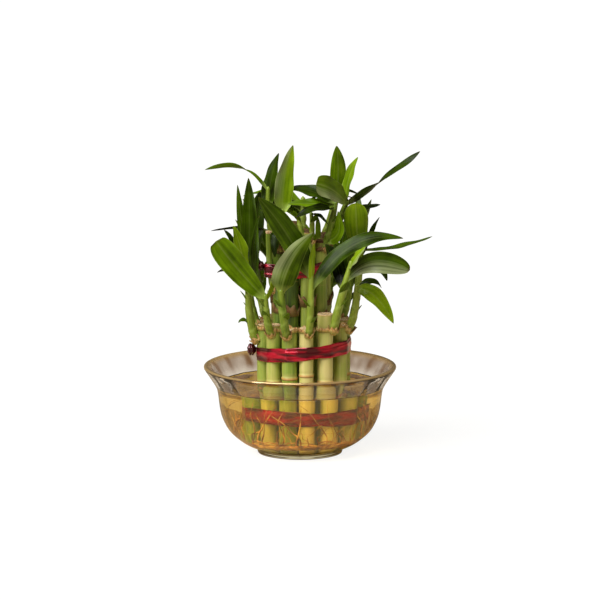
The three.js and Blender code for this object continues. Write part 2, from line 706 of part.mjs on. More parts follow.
const plants = growAll();
const outerCanes = plants.filter(({ name }) => name.startsWith('stalk_outer')).map(({ place }) => place);
const innerCanes = plants.filter(({ name }) => name.startsWith('stalk_inner')).map(({ place }) => place);
// The cut shoot beside the taller tier, which its ribbon also goes round
const stub = { foot: [-22.6, -9, 120], head: [-22.6, -9, 166], radius: 2.7 };

const group = new THREE.Group();
group.add(toMesh('bowl', bowl(), COLOURS.glass, { transparent: true, opacity: 0.35 }));
group.add(toMesh('water', water(), COLOURS.water, { transparent: true, opacity: 0.4 }));
group.add(toMesh('roots', roots(), COLOURS.roots));
group.add(toMesh('ribbon_lower', ribbon(outerCanes, LOWER_TIE, lowerMiddle), COLOURS.ribbon));
const middleTie = ribbon(outerCanes, MIDDLE_TIE, middleMiddle).add(knot(KNOT_PLACE, KNOT_RADIUS));
group.add(toMesh('ribbon_middle', middleTie, COLOURS.ribbon));
const upperTie = ribbon([...innerCanes, stub], UPPER_TIE, upperMiddle);
group.add(toMesh('ribbon_upper', upperTie.add(knot(SMALL_KNOT_PLACE, SMALL_KNOT_RADIUS)), COLOURS.ribbon));
for (const { name, place, shoots } of plants) {
  group.add(toMesh(name, plantBody(place, shoots), COLOURS.plant));
}

export default group;
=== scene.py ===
"""Lucky bamboo in a glass bowl: the finish of the canes, leaves, ribbons, roots, water and glass.

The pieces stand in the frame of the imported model: metres, +Z up, the origin on the bowl's axis at the
underside of its foot. Sizes in this file are in millimetres, unless they are properties, and a mesh gets
them in metres. Azimuths are in degrees round the bundle: 0 is the front (-Y), 90 the right (+X).
"""

import bpy
import numpy as np
from bpy.props import FloatProperty, FloatVectorProperty, IntProperty, PointerProperty
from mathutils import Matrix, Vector


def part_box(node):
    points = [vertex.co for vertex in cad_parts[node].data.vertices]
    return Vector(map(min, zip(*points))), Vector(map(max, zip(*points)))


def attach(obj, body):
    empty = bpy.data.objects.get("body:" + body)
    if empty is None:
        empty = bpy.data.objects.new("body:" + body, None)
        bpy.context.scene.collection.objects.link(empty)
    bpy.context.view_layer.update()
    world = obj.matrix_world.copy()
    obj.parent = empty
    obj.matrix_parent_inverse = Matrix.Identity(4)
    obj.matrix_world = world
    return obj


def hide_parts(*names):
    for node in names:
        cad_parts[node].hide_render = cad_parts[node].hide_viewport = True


bl_info = {
    "name": "Lucky bamboo in a glass bowl",
    "version": (1, 0, 0),
    "blender": (4, 5, 0),
    "location": "3D View > Sidebar > Lucky Bamboo",
    "description": "Builds the looks of a bundle of lucky bamboo in a bowl of water",
    "category": "Object",
}

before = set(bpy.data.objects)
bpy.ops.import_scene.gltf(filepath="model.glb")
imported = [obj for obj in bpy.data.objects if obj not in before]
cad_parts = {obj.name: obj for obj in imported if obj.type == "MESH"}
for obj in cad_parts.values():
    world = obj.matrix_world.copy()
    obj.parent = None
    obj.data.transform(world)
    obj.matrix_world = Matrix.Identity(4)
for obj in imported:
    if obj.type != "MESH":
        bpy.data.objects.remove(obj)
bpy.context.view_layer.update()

MM = 0.001
FULL_TURN = 2 * np.pi
UP = np.array([0.0, 0.0, 1.0])

# Bowl: [radius, height] up the outside and the inside. The flat optic panels inside fade in and out over two
# stretches of height. The colours of the glass change over the stretches of its foot, flare, rim and lip,
# and from its front to its back. The dark brown over the flare, darkest at the back, is a painted
# reflection of a dim room, and the lip's gold is partly a painted highlight
BOWL_OUTSIDE = (
    (0, 0), (30.2, 0), (31, 0.8), (31, 3.4), (32.4, 4), (39.8, 7.1), (45.9, 11.3), (52.1, 17), (56.1, 24.3),
    (58.4, 31.6), (59.9, 45.2), (61.2, 49.3), (65.3, 55.6), (69.2, 61.4), (70.2, 63), (69.9, 64.2),
    (68.9, 64.5),
)
BOWL_INSIDE = (
    (0, 6), (24, 6), (31, 6.8), (38, 9.6), (44, 13.6), (49.8, 19.2), (53.4, 26), (55.6, 33), (57.1, 46),
    (58.6, 50.6), (63, 57.2), (67.6, 64.5),
)
PANELS = 20
COLUMNS_PER_PANEL = 8
PANELS_START = (7, 12)
PANELS_END = (60, 64)
FOOT = (3, 9)
FLARE = (46, 55)
RIM = (60.5, 62.5)
LIP = (62.9, 63.7)
FRONT_TO_BACK = (-30, 5)
LAMP_LIGHT_PASSED = "#f8f5ee"

# Water: how far its edge climbs, and how far it reaches into the glass
WATER_CLIMB = 0.9
WATER_IN_GLASS = 0.15

# Canes
BUNDLE_X = 2.5
OUTER_REACH = 34.3
OUTER_TOP = 97
INNER_X = 0.5
INNER_RING = 16.1
CORE_RING = 5.95
INNER_TOP = 160
INNER_RADIUS = 5.1
LEAN_PER_MM = 0.0062
OUTER_SPROUT = 30
INNER_SPROUT = 24
GAP = 0.35

# Cut shoot that the upper ribbon also ties
CUT_SHOOT = (np.array([-22.6, -9, 120]), np.array([-22.6, -9, 166]), 2.7)
# Ribbons: the tier of canes that each ties and what else, its height, its tilt and how much of the dark foil
# colour it takes
RIBBONS = {
    "lower": ("outer", (), 33, (0, 0, 0.8, 1), 0.45),
    "middle": ("outer", (), 77, (3, -1.6, 0, 1.6), 0),
    "upper": ("inner", (CUT_SHOOT,), 138.5, (1.5, 1.8, 0, 1.2), 0),
}
# Turns of a ribbon: the share of its width, the clearance, the share of its crossing and the seed of each
TURNS = ((1, 0.15, 0, 3), (0.62, 0.4, 1, 8))
FOIL_THICK = 0.12
RIBBON_STEPS = 520
# Knots, each a place and a radius
KNOTS = {"middle": ((-35.3, -4, 77), 3.6), "upper": ((-28.3, -9, 139.4), 2.8)}
KNOT_STRETCH = (1, 0.95, 1.3)

# Roots: the middle of the mat's section and its half size, each out from the bundle's middle and up
MAT_MIDDLE = (37.8, 14.1)
MAT_HALF = (2.3, 2.2)
OFF_GLASS = 1.5
STRAND_SIDES = 5
CLIMBING_SEED = 5
TANGLE_SEED = 23

# Surfaces of a plant: the heights of its torn sheaths, where on a shoot they stand and where its sheaths
# end, as shares of its length, and the rows and columns of a blade
CANE, SHOOT, LEAF, DRY, PITH, OLD = range(6)
HIGH_CUFF = 4
LOW_CUFF = 10
SHOOT_CUFF = 7
SHEATHED = 0.07
SHEATH_RIMS = (0.21, 0.46, 0.73)
BLADE_THICK = 0.55
LEAF_GRID = (34, 15)
SCALE_GRID = (9, 7)

# Stage, in metres and radians
FLOOR_HALF = 8.0
KEY_PLACE = (-1.7, -2.2, 4.4)
KEY_AIM = (0, 0, 0.1)
KEY_ANGLE = np.radians(50)
BOX_PLACE = (-1.2, -0.9, 0.5)
BOX_AIM = (0, 0, 0.12)
BOX_SIZE = (0.25, 1.0)
BOX_POWER = 6.0
FLOOR_SHOWN = 0.15
FLOOR_BOUNCED = "#a39174"
FLOOR_GLOW = 0.92
ROOM_THROUGH_GLASS = 0.55
ROOM_COLOUR = "#ffe8cb"

# Leaves, as the model's source places them
LEAF_SEED = 11
SUNK = 0.94
LEAF_CLEARANCE = 3
DRAWS = 500
CROWN_RADIUS = 82
CROWN_HALF_WIDTH = 50
CROWN_TOP = 196
CROWN_SLOPE = 0.19
CROWN_BASE = 112
# Shapes of a leaf: how fast it widens from its foot and narrows to its point
NARROW = (0.7, 0.8)
CLASPING = (0.4, 0.8)
OVAL = (1.1, 0.5)
BLUNT = (0.6, 0.22)
CHECKED_ROWS = 14
CHECKED_COLUMNS = (-1, -0.5, 0, 0.5, 1)
OWN_POINTS = CHECKED_ROWS * len(CHECKED_COLUMNS) // 2


def linear(colour):
    """Linear red, green and blue from an sRGB hex value."""
    shares = np.array([int(colour[i : i + 2], 16) for i in (1, 3, 5)]) / 255
    return tuple(np.where(shares <= 0.04045, shares / 12.92, ((shares + 0.055) / 1.055) ** 2.4))


# Growth


def leaf(at, bend, tip, wide, roll, tone=0.4, twist=0, shape=NARROW):
    """A leaf that leaves its shoot at a share of the shoot's length and goes by its bend to its tip. The
    tone is from 0, dark, to 1, bright, and its low end is partly painted shade, for leaves deep in the crown.
    1 or 2 is added for a leaf with a painted sheen, a pale grey-green highlight, on one side of the midrib or
    the other. twist is how far the blade turns from base to tip, in degrees."""
    return {
        "at": at, "ends": (bend, tip), "wide": wide, "roll": roll,
        "tone": tone, "twist": twist, "shape": shape,
    }


def shoot(curve, girth, leaves=(), scales=(), cut=False):
    """A shoot along a curve of two ends and a bend, with its leaves and its small scale leaves."""
    return {"curve": curve, "girth": girth, "leaves": list(leaves), "scales": scales, "cut": cut}


def cane(azimuth, nodes, radius=INNER_RADIUS, top=None, shoots=None, spread=0, tone=0.4):
    """A cane at an azimuth, with the heights of its nodes. One with no shoots stated grows its own, by rule.
    spread is how many leaves are placed by rule on its first shoot."""
    return {
        "azimuth": azimuth, "nodes": nodes, "radius": radius, "top": top, "shoots": shoots,
        "spread": spread, "tone": tone,
    }


OUTER = (
    cane(-78, (52, 93), 5.4, tone=0.1, shoots=[
        shoot(((-29.8, -7, 83.5), (-36.6, -7.5, 86.5), (-37.7, -12, 125)), 3.2, (
            leaf(1, (-41, -18, 151), (-48.3, -16, 170), 11.5, -75, tone=0.9),
            leaf(0.98, (-36, -9, 169), (-37.3, -2, 203), 14, 5, tone=0.2, shape=CLASPING),
            leaf(0.9, (-46.5, -2, 141), (-60.3, 4, 132), 5, 38, tone=0.1),
            leaf(0.5, (-41.4, -10, 103), (-44.6, -10, 97.4), 4, -30, tone=0.3),
        ), ((0.73, -90, 6), (0.83, -90, 8.5))),
    ]),
    cane(-48, (56, 94), 5.4, tone=0.5, shoots=[
        shoot(((-20, -22, 90), (-24.5, -29, 98), (-25, -32, 122)), 2.8, (
            leaf(1, (-44, -38, 139), (-60.4, -38, 162.5), 18.5, -85, tone=0.55, shape=BLUNT),
            leaf(0.9, (-18, -40, 133.7), (-13.3, -44, 147.5), 5, 0, tone=0.95),
            leaf(0.98, (-40.4, -26, 145), (-29, -18, 178), 9, -75, tone=0.15),
        ), ((0.5, -30, 9), (0.75, -80, 9))),
    ]),
    cane(-20.5, (60, 95), 5.7, tone=0.3, shoots=[
        shoot(((-9, -31, 90), (-12, -39, 99), (-13.8, -41, 127)), 3.1, (
            leaf(1, (-11.5, -52, 149.6), (10, -51, 171), 18, -62, tone=1.5, shape=CLASPING),
        ), ((0.45, 30, 9), (0.7, -60, 10))),
    ]),
    cane(4, (62.5, 95), 5.2, tone=0.95, shoots=[
        shoot(((6, -32, 91), (7.5, -38.5, 100), (8, -39, 138)), 2.6, (
            leaf(1, (-6.5, -44, 170), (-30, -48, 196), 18, 64, tone=0.3),
            leaf(0.95, (8.6, -44, 149.7), (10.4, -44, 162), 5, 0, tone=0.95),
            leaf(0.85, (32.4, -26, 170), (74.7, -20, 161.3), 13, 40, tone=0.25),
        ), ((0.3, 60, 9), (0.6, -60, 9))),
    ]),
    cane(33.5, (57, 95), 5.7, 107, tone=0.9, shoots=[
        shoot(((24, -27, 92.5), (26, -33, 109.7), (37.4, -36, 147)), 3.1, (
            leaf(0.8, (44.5, -43, 157.5), (79, -42, 142), 15.5, 80, tone=1.25, shape=OVAL),
            leaf(0.7, (28.8, -22, 147.3), (18, -20, 157.2), 10, -45, tone=0.1),
            leaf(1, (39.5, -45, 150), (47.2, -48, 160), 9, 60, tone=1.88),
        ), ((0.4, 70, 10), (0.62, 30, 12))),
    ]),
    cane(66, (54, 96), 5.5, tone=0.6, shoots=[
        shoot(((33.4, -12.5, 91.3), (40.6, -15, 99), (41.2, -17, 126)), 2.9, (
            leaf(1, (54.2, -22, 127), (67.7, -21, 99), 12, 60, tone=0.8),
            leaf(0.95, (51.4, -10, 135), (59, -9, 123), 6, 38, tone=0.15),
        ), ((0.4, 90, 5), (0.55, 90, 5), (0.7, 80, 5))),
    ]),
    cane(96, (58, 94), 5.4, tone=0.3, shoots=[
        shoot(((33.5, 3, 87.6), (41.5, 4, 95.6), (45, 3, 155)), 2.9, (
            leaf(1, (74, 5, 148.6), (96.3, 6, 158.4), 8, 10, tone=0.3),
            leaf(0.84, (58.8, 0, 143.6), (63.2, 0, 126.6), 8, 45, tone=0.15),
            leaf(0.93, (49.5, 10, 156.6), (58, 15, 171.3), 7, -10, tone=0.05),
            leaf(0.9, (49.3, 0, 160.5), (47, -2, 183.6), 7, 30, tone=0.15),
            leaf(0.88, (40.5, -13, 168), (40.2, -13, 186), 17.5, 15, tone=0.75, shape=OVAL),
        ), ((0.35, 90, 9),)),
    ]),
    cane(124, (61, 95), 5.5, spread=6, tone=0.5),
    cane(152, (55, 94), 5.3, spread=5, tone=0.2),
    cane(178, (59, 96), 5.5, spread=6, tone=0.6),
    cane(-152, (53, 95), 5.2, spread=5, tone=0.3),
    cane(-128, (57, 94), 5.3, spread=6, tone=0.7),
    cane(-103, (60, 95), 5.4, tone=0.4, shoots=[
        shoot(((-28, 7, 90), (-36, 8.5, 98), (-38.5, 9, 134)), 2.7, (
            leaf(1, (-42, 5, 162), (-45.3, 4, 197), 6.5, 60, tone=0.45),
            leaf(0.9, (-45.2, 16, 150.4), (-55.4, 20, 161), 7, -15, tone=0.05),
            leaf(0.97, (-33, 14, 166), (-29, 12, 191), 14, 60, tone=0.15),
        ), ((0.5, -100, 9),)),
    ]),
)
# The taller canes at -23, 17, 57 and -63 degrees have low tones as painted shade, for the shade deep in the
# bundle behind the outer canes. The two below 0 lean to the darkest cane colour.
INNER = (
    cane(-23, (105, 152), tone=-0.25, shoots=[
        shoot(((-8, -18, 149), (-10, -23, 160), (-9, -24, 176)), 2.1, (
            leaf(1, (-18, -20, 171), (-27.4, -18, 185.5), 12, -60, tone=0.1),
        ), ((0.5, 0, 8), (0.8, -60, 8))),
    ]),
    cane(17, (112, 160), top=166, tone=0.25, shoots=[
        shoot(((3.5, -17, 156), (1, -21, 166), (-1.5, -20, 178)), 2.1, (), ((0.8, -40, 9),)),
        shoot(((8, -17, 156), (9.5, -21, 166), (8, -21, 180)), 2, (
            leaf(0.15, (16.5, -23, 160), (11.9, -22, 180), 6, 0, tone=0.5),
            leaf(1, (13, -26, 182), (20, -28, 173), 4, 15, tone=0.1),
        ), ((0.7, 40, 9),)),
    ]),
    cane(57, (100, 152), tone=0.3, shoots=[
        shoot(((16, -10.5, 149), (22, -14, 164), (26, -15, 187)), 2.6, (
            leaf(0.92, (13.7, -27, 188.4), (-2.9, -31, 178.5), 9, -22, tone=0.05),
            leaf(0.97, (10, -16, 187.3), (-8.7, -17, 186), 9, -35, tone=0.6),
            leaf(1, (13, -8, 196.3), (-8.7, -8, 195.6), 12, -32, tone=0.15),
            leaf(0.3, (32.5, -20, 161.7), (27.4, -19, 181.3), 10.5, 90, tone=0.55),
        ), ((0.6, 60, 9),)),
    ]),
    cane(97, (110, 153), tone=0.4, shoots=[
        shoot(((18, 1.5, 150), (27, -1, 166), (34, -7, 187)), 2.8, (
            leaf(1, (26, -25, 199), (11.5, -35, 203.5), 16, -88, tone=2.6, shape=BLUNT),
            leaf(0.97, (33.2, -8, 203.6), (42, -10, 219.3), 9.5, 60, tone=0.7),
            leaf(0.95, (59.3, -5, 199.5), (87, -4, 222.7), 9.5, -5, tone=0.1, twist=150),
            leaf(0.85, (49.3, 3, 180.6), (58.4, 5, 182), 4.5, 42, tone=0.1),
        ), ((0.5, 90, 9),)),
    ]),
    cane(137, (103, 152), spread=3, tone=0.5, shoots=[
        shoot(((13.5, 13, 149), (21, 15, 164), (27, 9, 189)), 2.6, (
            leaf(1, (29, 4, 206), (26.4, 0, 226), 11.5, 0, tone=0.58),
        ), ((0.5, 130, 9),)),
    ]),
    cane(177, (108, 153), spread=6, tone=0.3),
    cane(-143, (101, 151), spread=6, tone=0.6),
    cane(-103, (111, 153), top=161, tone=0.4, shoots=[
        shoot(((-17.4, 4, 150), (-24, 5, 167), (-23.2, 4, 194.4)), 2.4, (
            leaf(1, (-39, 7, 218), (-69.3, 8, 207), 6, 24, tone=0.5, twist=150),
            leaf(0.75, (-22.5, 3, 200.4), (-15.2, 5, 220), 12.5, 45, tone=0.2, shape=CLASPING),
            leaf(0.35, (-41.4, 10.5, 166), (-65, 12, 161.4), 4, 42, tone=0),
        ), ((0.5, -90, 9),)),
    ]),
    cane(-63, (106, 150), tone=-0.1, shoots=[
        shoot(((-16.5, -8, 120), (-22.8, -9, 122), (-22.6, -9, 165)), 2.4, cut=True),
        shoot(((-14, -10, 149), (-15.5, -14, 168), (-12.5, -13, 181)), 2.5, (
            leaf(1, (-13.6, -11, 203), (-5, -3, 227), 14.5, 60, tone=2.72, shape=CLASPING),
            # This leaf, tone 0 and hanging down in front of the cane, stands for the deep shade there: a dark
            # leaf put in as painted shade.
            leaf(0.42, (-19, -18, 168), (-18, -19, 147), 8, 0, tone=0),
        ), ((0.5, -30, 8),)),
    ]),
)
CORE = (
    cane(-110, (120, 165), top=170, spread=4, tone=0.5),
    cane(10, (118, 155), top=161, shoots=[], tone=0.4),
    cane(130, (121, 154), top=160, shoots=[], tone=0.6),
)


def unit(vectors):
    """Each vector divided by its length."""
    return vectors / np.linalg.norm(vectors, axis=-1, keepdims=True)


def away(azimuth):
    """The level direction at an azimuth."""
    angle = np.radians(azimuth)
    return np.array([np.sin(angle), -np.cos(angle), 0.0])


def bezier(curve, t):
    """Points on the quadratic Bezier curve with the ends a and c and the bend b:
    a(1-t)^2 + 2bt(1-t) + ct^2."""
    a, b, c = (np.asarray(point, float) for point in curve)
    t = np.asarray(t, float)[..., None]
    return a * (1 - t) ** 2 + 2 * b * t * (1 - t) + c * t**2


def heading(curve, t):
    """Directions along the quadratic Bezier curve: from b-a at its start, evenly, to c-b at its end."""
    a, b, c = (np.asarray(point, float) for point in curve)
    t = np.asarray(t, float)[..., None]
    return unit((b - a) * (1 - t) + (c - b) * t)


def dice(seed):
    """Repeatable random numbers from 0 to 1, a linear congruential generator."""
    state = seed

    def draw():
        nonlocal state
        state = (state * 1664525 + 1013904223) % 2**32
        return state / 2**32

    return draw


def blade_half(blade, t):
    """Half width of a blade at a share t of its length: with the shape's powers a and b and the peak
    p = a/(a+b) it is half the full width times ((t+0.03)/p)^a ((1-t)/(1-p))^b."""
    widens, narrows = blade["shape"]
    peak = widens / (widens + narrows)
    return blade["wide"] / 2 * ((t + 0.03) / peak) ** widens * ((1 - t) / (1 - peak)) ** narrows


def blade_frame(blade, t, twist=0):
    """Sideways and upward directions of a blade at t: level across the leaf's reach, then turned about the
    midrib by its roll, and by its twist from half of it one way at the base to half the other way at the
    tip."""
    along = heading(blade["curve"], t)
    reach = np.subtract(blade["curve"][2], blade["curve"][0])
    flat = unit(np.array([-reach[1], reach[0], 0.0]))
    level = unit(flat - along * (along @ flat)[..., None])
    above = np.cross(along, level)
    roll = np.radians(blade["roll"] + twist * (t - 0.5))[..., None]
    side = level * np.cos(roll) + above * np.sin(roll)
    return side, np.cross(along, side)


def blade_points(blade):
    """Points spread over a blade, to tell how near others come."""
    t = np.arange(1, CHECKED_ROWS + 1) / CHECKED_ROWS
    side, _ = blade_frame(blade, t)
    across = blade_half(blade, t)[:, None] * np.array(CHECKED_COLUMNS)
    return (bezier(blade["curve"], t)[:, None] + side[:, None] * across[..., None]).reshape(-1, 3)


class Crowd:
    """The places that plants have taken: points, each with the reach that others keep from it, and its
    plant."""

    def __init__(self):
        self.points = np.empty((0, 3))
        self.reach = np.empty(0)
        self.plant = np.empty(0, int)

    def take(self, points, reach, plant):
        """Adds a plant's points with their reach."""
        self.points = np.concatenate([self.points, points])
        self.reach = np.append(self.reach, np.full(len(points), float(reach)))
        self.plant = np.append(self.plant, np.full(len(points), plant))

    def clear_of(self, points, plant):
        """Whether all points keep their distance. The lower half of a leaf may be near its own plant."""
        margin = self.reach.max()
        inside = (self.points > points.min(0) - margin) & (self.points < points.max(0) + margin)
        near = inside.all(1)
        gaps = np.linalg.norm(points[:, None] - self.points[near][None], axis=2)
        close = gaps < self.reach[near]
        close[:OWN_POINTS, self.plant[near] == plant] = False
        return not close.any()


def inside_height(radius):
    """Height of the bowl's inside at a radius, at the middle of a flat panel, where it is highest."""
    radii, heights = np.array(BOWL_INSIDE[1:]).T
    return np.interp(radius / np.cos(np.pi / PANELS), radii, heights)


def place_outer(spec):
    """Foot and head of an outer cane, which stands upright."""
    azimuth = spec["azimuth"]
    top = spec["top"] or OUTER_TOP + 1.5 * np.sin(np.radians(5 * azimuth))
    foot = away(azimuth) * (OUTER_REACH - spec["radius"]) + [BUNDLE_X, 0, 0]
    foot[2] = inside_height(OUTER_REACH + BUNDLE_X) + GAP / 2
    return foot, np.array([foot[0], foot[1], top])


def place_inner(spec, ring):
    """Foot and head of a taller cane, which leans outward a little."""
    azimuth = spec["azimuth"]
    top = spec["top"] or INNER_TOP + 2 * np.cos(np.radians(4 * azimuth))
    foot = away(azimuth) * ring + [INNER_X, 0, BOWL_INSIDE[0][1] + GAP]
    head = away(azimuth) * (ring + LEAN_PER_MM * top) + [INNER_X, 0, top]
    return foot, head


def own_shoot(plant, random):
    """Shoot on a cane that has none stated: rises beside the cane's head and leans outward."""
    out = away(plant["azimuth"])
    start = plant["nodes"][1] - 2
    height = plant["sprout"] + 12 * random()
    origin = np.array([*plant["head"][:2], start]) + out * (plant["radius"] - 1)
    elbow = origin + out * 5.5 + [0, 0, 8]
    top = elbow + out * (3 + 3 * random())
    top[2] = start + height
    return shoot((origin, elbow, top), 2.4 + 0.5 * random(), scales=((0.5, plant["azimuth"], 9),))


def in_crown(points):
    """Whether each point is inside the crown's outline."""
    x, y, z = points.T
    near = (np.hypot(x, y) < CROWN_RADIUS) & (np.abs(x - BUNDLE_X) < CROWN_HALF_WIDTH)
    return near & (z + CROWN_SLOPE * y < CROWN_TOP) & (z > CROWN_BASE)


def drawn_leaf(stem, azimuth, number, random):
    """One draw of a leaf on a shoot: how far along, which way it turns, its length, its rise and its fall."""
    at = SUNK * (1 - 0.1 * number * random())
    turn = azimuth + (1 if number % 2 else -1) * (20 + 75 * random())
    length = 48 + 24 * random()
    rise = np.radians(38 + 46 * random())
    fall = np.radians(-25 + 90 * random())
    base = bezier(stem["curve"], at)
    bend = base + 0.5 * length * (away(turn) * np.cos(rise) + UP * np.sin(rise))
    tip = bend + 0.55 * length * (away(turn) * np.cos(fall) + UP * np.sin(fall))
    return {**leaf(at, bend, tip, 11 + 5 * random(), 50 * (random() - 0.5)), "curve": (base, bend, tip)}


def fan_leaves(plant, number, crowd, random):
    """Leaves fanned round a shoot by rule: each is the first of many draws that stands clear of all
    others."""
    for count in range(plant["spread"]):
        stem = plant["shoots"][0]
        for _ in range(DRAWS):
            drawn = drawn_leaf(stem, plant["azimuth"], count, random)
            points = blade_points(drawn)
            if in_crown(points).all() and crowd.clear_of(points, number):
                drawn["tone"] = 0.2 + 0.5 * ((7 * number + 5 * count) % 9) / 8
                stem["leaves"].append(drawn)
                crowd.take(points, LEAF_CLEARANCE, number)
                break


def grow_all():
    """All plants by node name: stated shoots and leaves first, then the ones placed by rule clear of them."""
    random = dice(LEAF_SEED)
    crowd = Crowd()
    plants = []
    for tier, specs, ring, sprout in (
        ("outer", OUTER, None, OUTER_SPROUT),
        ("inner", INNER, INNER_RING, INNER_SPROUT),
        ("core", CORE, CORE_RING, INNER_SPROUT),
    ):
        for count, spec in enumerate(specs, 1):
            foot, head = place_inner(spec, ring) if ring else place_outer(spec)
            plant = {**spec, "name": f"stalk_{tier}_{count}", "foot": foot, "head": head, "sprout": sprout}
            line = foot + (head - foot) * np.linspace(0, 1, 41)[:, None]
            crowd.take(line, plant["radius"] + 2, len(plants))
            if plant["shoots"] is None:
                plant["shoots"] = [own_shoot(plant, random)]
            for stem in plant["shoots"]:
                crowd.take(bezier(stem["curve"], np.linspace(0, 1, 13)), stem["girth"] + 1.6, len(plants))
                for grown in stem["leaves"]:
                    grown["curve"] = (bezier(stem["curve"], SUNK * grown["at"]), *grown["ends"])
                    crowd.take(blade_points(grown), LEAF_CLEARANCE, len(plants))
            plants.append(plant)
    for number, plant in enumerate(plants):
        fan_leaves(plant, number, crowd, random)
    return plants


# Surfaces


def together(*parts):
    """Rows of numbers from their parts, each of them an array or one number for all rows."""
    return np.stack(np.broadcast_arrays(*parts), -1)


def skin(rings, place=(0, 0, 0), slots=0, ends=None, loop=False):
    """Closed surface over a grid of points, where each row is a closed ring. Its ends close to the two
    points in ends, or to the middles of the end rings, or the last row joins the first in a loop. place is
    what the materials read at each point, and slots is the material of each row. The faces are turned
    outward by the sign of the enclosed volume, the sum of a.(b x c)/6 over the triangles."""
    rows, columns = rings.shape[:2]
    index = np.arange(rows * columns).reshape(rows, columns)
    here = index if loop else index[:-1]
    above = np.roll(index, -1, 0) if loop else index[1:]
    quads = together(here, np.roll(here, -1, 1), np.roll(above, -1, 1), above).reshape(-1, 4)
    row_slots = np.broadcast_to(slots, len(here))
    face_slots = np.repeat(row_slots, columns)
    points = rings.reshape(-1, 3)
    places = np.broadcast_to(np.asarray(place, float), rings.shape).reshape(-1, 3)
    fans = np.empty((0, 3), int)
    if not loop:
        first, last = index[0], index[-1]
        poles = (rings[0].mean(0), rings[-1].mean(0)) if ends is None else ends
        under = together(len(points), np.roll(first, -1), first)
        over = together(len(points) + 1, last, np.roll(last, -1))
        fans = np.concatenate([under, over])
        points = np.concatenate([points, np.array(poles, float)])
        places = np.concatenate([places, [places[first].mean(0), places[last].mean(0)]])
        face_slots = np.append(face_slots, np.repeat(row_slots[[0, -1]], columns))
    triangles = np.concatenate([quads[:, :3], quads[:, [0, 2, 3]], fans])
    a, b, c = points[triangles.T]
    if (a * np.cross(b, c)).sum() < 0:
        quads, fans = quads[:, ::-1], fans[:, ::-1]
    return {"points": points, "quads": quads, "fans": fans, "places": places, "slots": face_slots}


def make_piece(name, skins, materials, node):
    """One mesh object of all the skins, in metres, with its materials, in the frame in place of its CAD
    node."""

    def joined(field):
        """That field of all the skins, one after another."""
        return np.concatenate([one[field] for one in skins])

    starts = np.cumsum([0, *(len(one["points"]) for one in skins)])
    faces = []
    for one, start in zip(skins, starts):
        faces += (one["quads"] + start).tolist() + (one["fans"] + start).tolist()
    mesh = bpy.data.meshes.new(name)
    mesh.from_pydata((joined("points") * MM).tolist(), [], faces)
    mesh.polygons.foreach_set("material_index", joined("slots").astype(np.int32))
    mesh.polygons.foreach_set("use_smooth", np.ones(len(faces), bool))
    place = mesh.attributes.new("place", "FLOAT_VECTOR", "POINT")
    place.data.foreach_set("vector", joined("places").astype(np.float32).ravel())
    for material in materials:
        mesh.materials.append(material)
    mesh.update()
    piece = bpy.data.objects.new(name, mesh)
    bpy.context.scene.collection.objects.link(piece)
    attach(piece, "root")
    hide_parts(node)
    return piece


def rounded(profile, passes=3):
    """The profile with its corners cut: each pass puts points at 1/4 and 3/4 of every side and keeps the
    ends."""
    line = np.asarray(profile, float)
    for _ in range(passes):
        quarter = line[:-1] * 0.75 + line[1:] * 0.25
        far = line[:-1] * 0.25 + line[1:] * 0.75
        line = np.concatenate([line[:1], np.stack([quarter, far], 1).reshape(-1, 2), line[-1:]])
    return line


def smooth_step(values, low, high):
    """0 below low, 1 above high, and 3x^2 - 2x^3 in between."""
    x = np.clip((values - low) / (high - low), 0, 1)
    return x * x * (3 - 2 * x)


def angles(count):
    """Angles of a whole turn in equal steps."""
    return np.arange(count) * FULL_TURN / count


def turned(radii, heights, turn):
    """Surface of revolution: at each angle of turn, radii out from the Z axis and heights up it."""
    return together(radii * np.cos(turn), radii * np.sin(turn), heights)


def panelled(profile):
    """Surface of revolution whose wall is flattened into panels: the radius is r cos(p) / cos(a), where p
    is half a panel's angle and a is the angle from the panel's middle, but r itself at the floor and at the
    lip."""
    turn = angles(PANELS * COLUMNS_PER_PANEL)
    half_panel = np.pi / PANELS
    from_middle = (turn + half_panel) % (2 * half_panel) - half_panel
    flat = np.cos(half_panel) / np.cos(from_middle)
    radii, heights = profile.T[..., None]
    amount = smooth_step(heights, *PANELS_START) * (1 - smooth_step(heights, *PANELS_END))
    return turned(radii * (1 + amount * (flat - 1)), heights, turn)


def bowl_skin():
    """The glass: up the outside, over the lip and down the inside, closed at the axis below and inside."""
    radii, heights = rounded(BOWL_OUTSIDE)[1:].T[..., None]
    outside = turned(radii, heights, angles(PANELS * COLUMNS_PER_PANEL))
    inside = panelled(rounded(BOWL_INSIDE)[:0:-1])
    return skin(np.concatenate([outside, inside]), ends=((0, 0, 0), (0, 0, BOWL_INSIDE[0][1])))


def water_skin(level):
    """The water: it fills the bowl up to its level and reaches a little into the glass, as where glass and
    water touch there is no air between. Near the wall its top climbs by WATER_CLIMB e^(-2d), d the distance
    in mm."""
    inside = rounded(BOWL_INSIDE)
    profile = inside[(inside[:, 1] <= level) & (inside[:, 0] > 0)]
    edge = np.interp(level + WATER_CLIMB, *inside.T[::-1])
    wall = np.concatenate([profile, [[edge, level + WATER_CLIMB]]]) + [WATER_IN_GLASS, 0]
    distance = np.array([0.2, 0.5, 1, 2, 4, 10, 25, 45])
    top = together(edge - distance, level + WATER_CLIMB * np.exp(-2 * distance))
    rings = panelled(np.concatenate([wall, top]))
    return skin(rings, ends=((0, 0, BOWL_INSIDE[0][1]), (0, 0, level)))


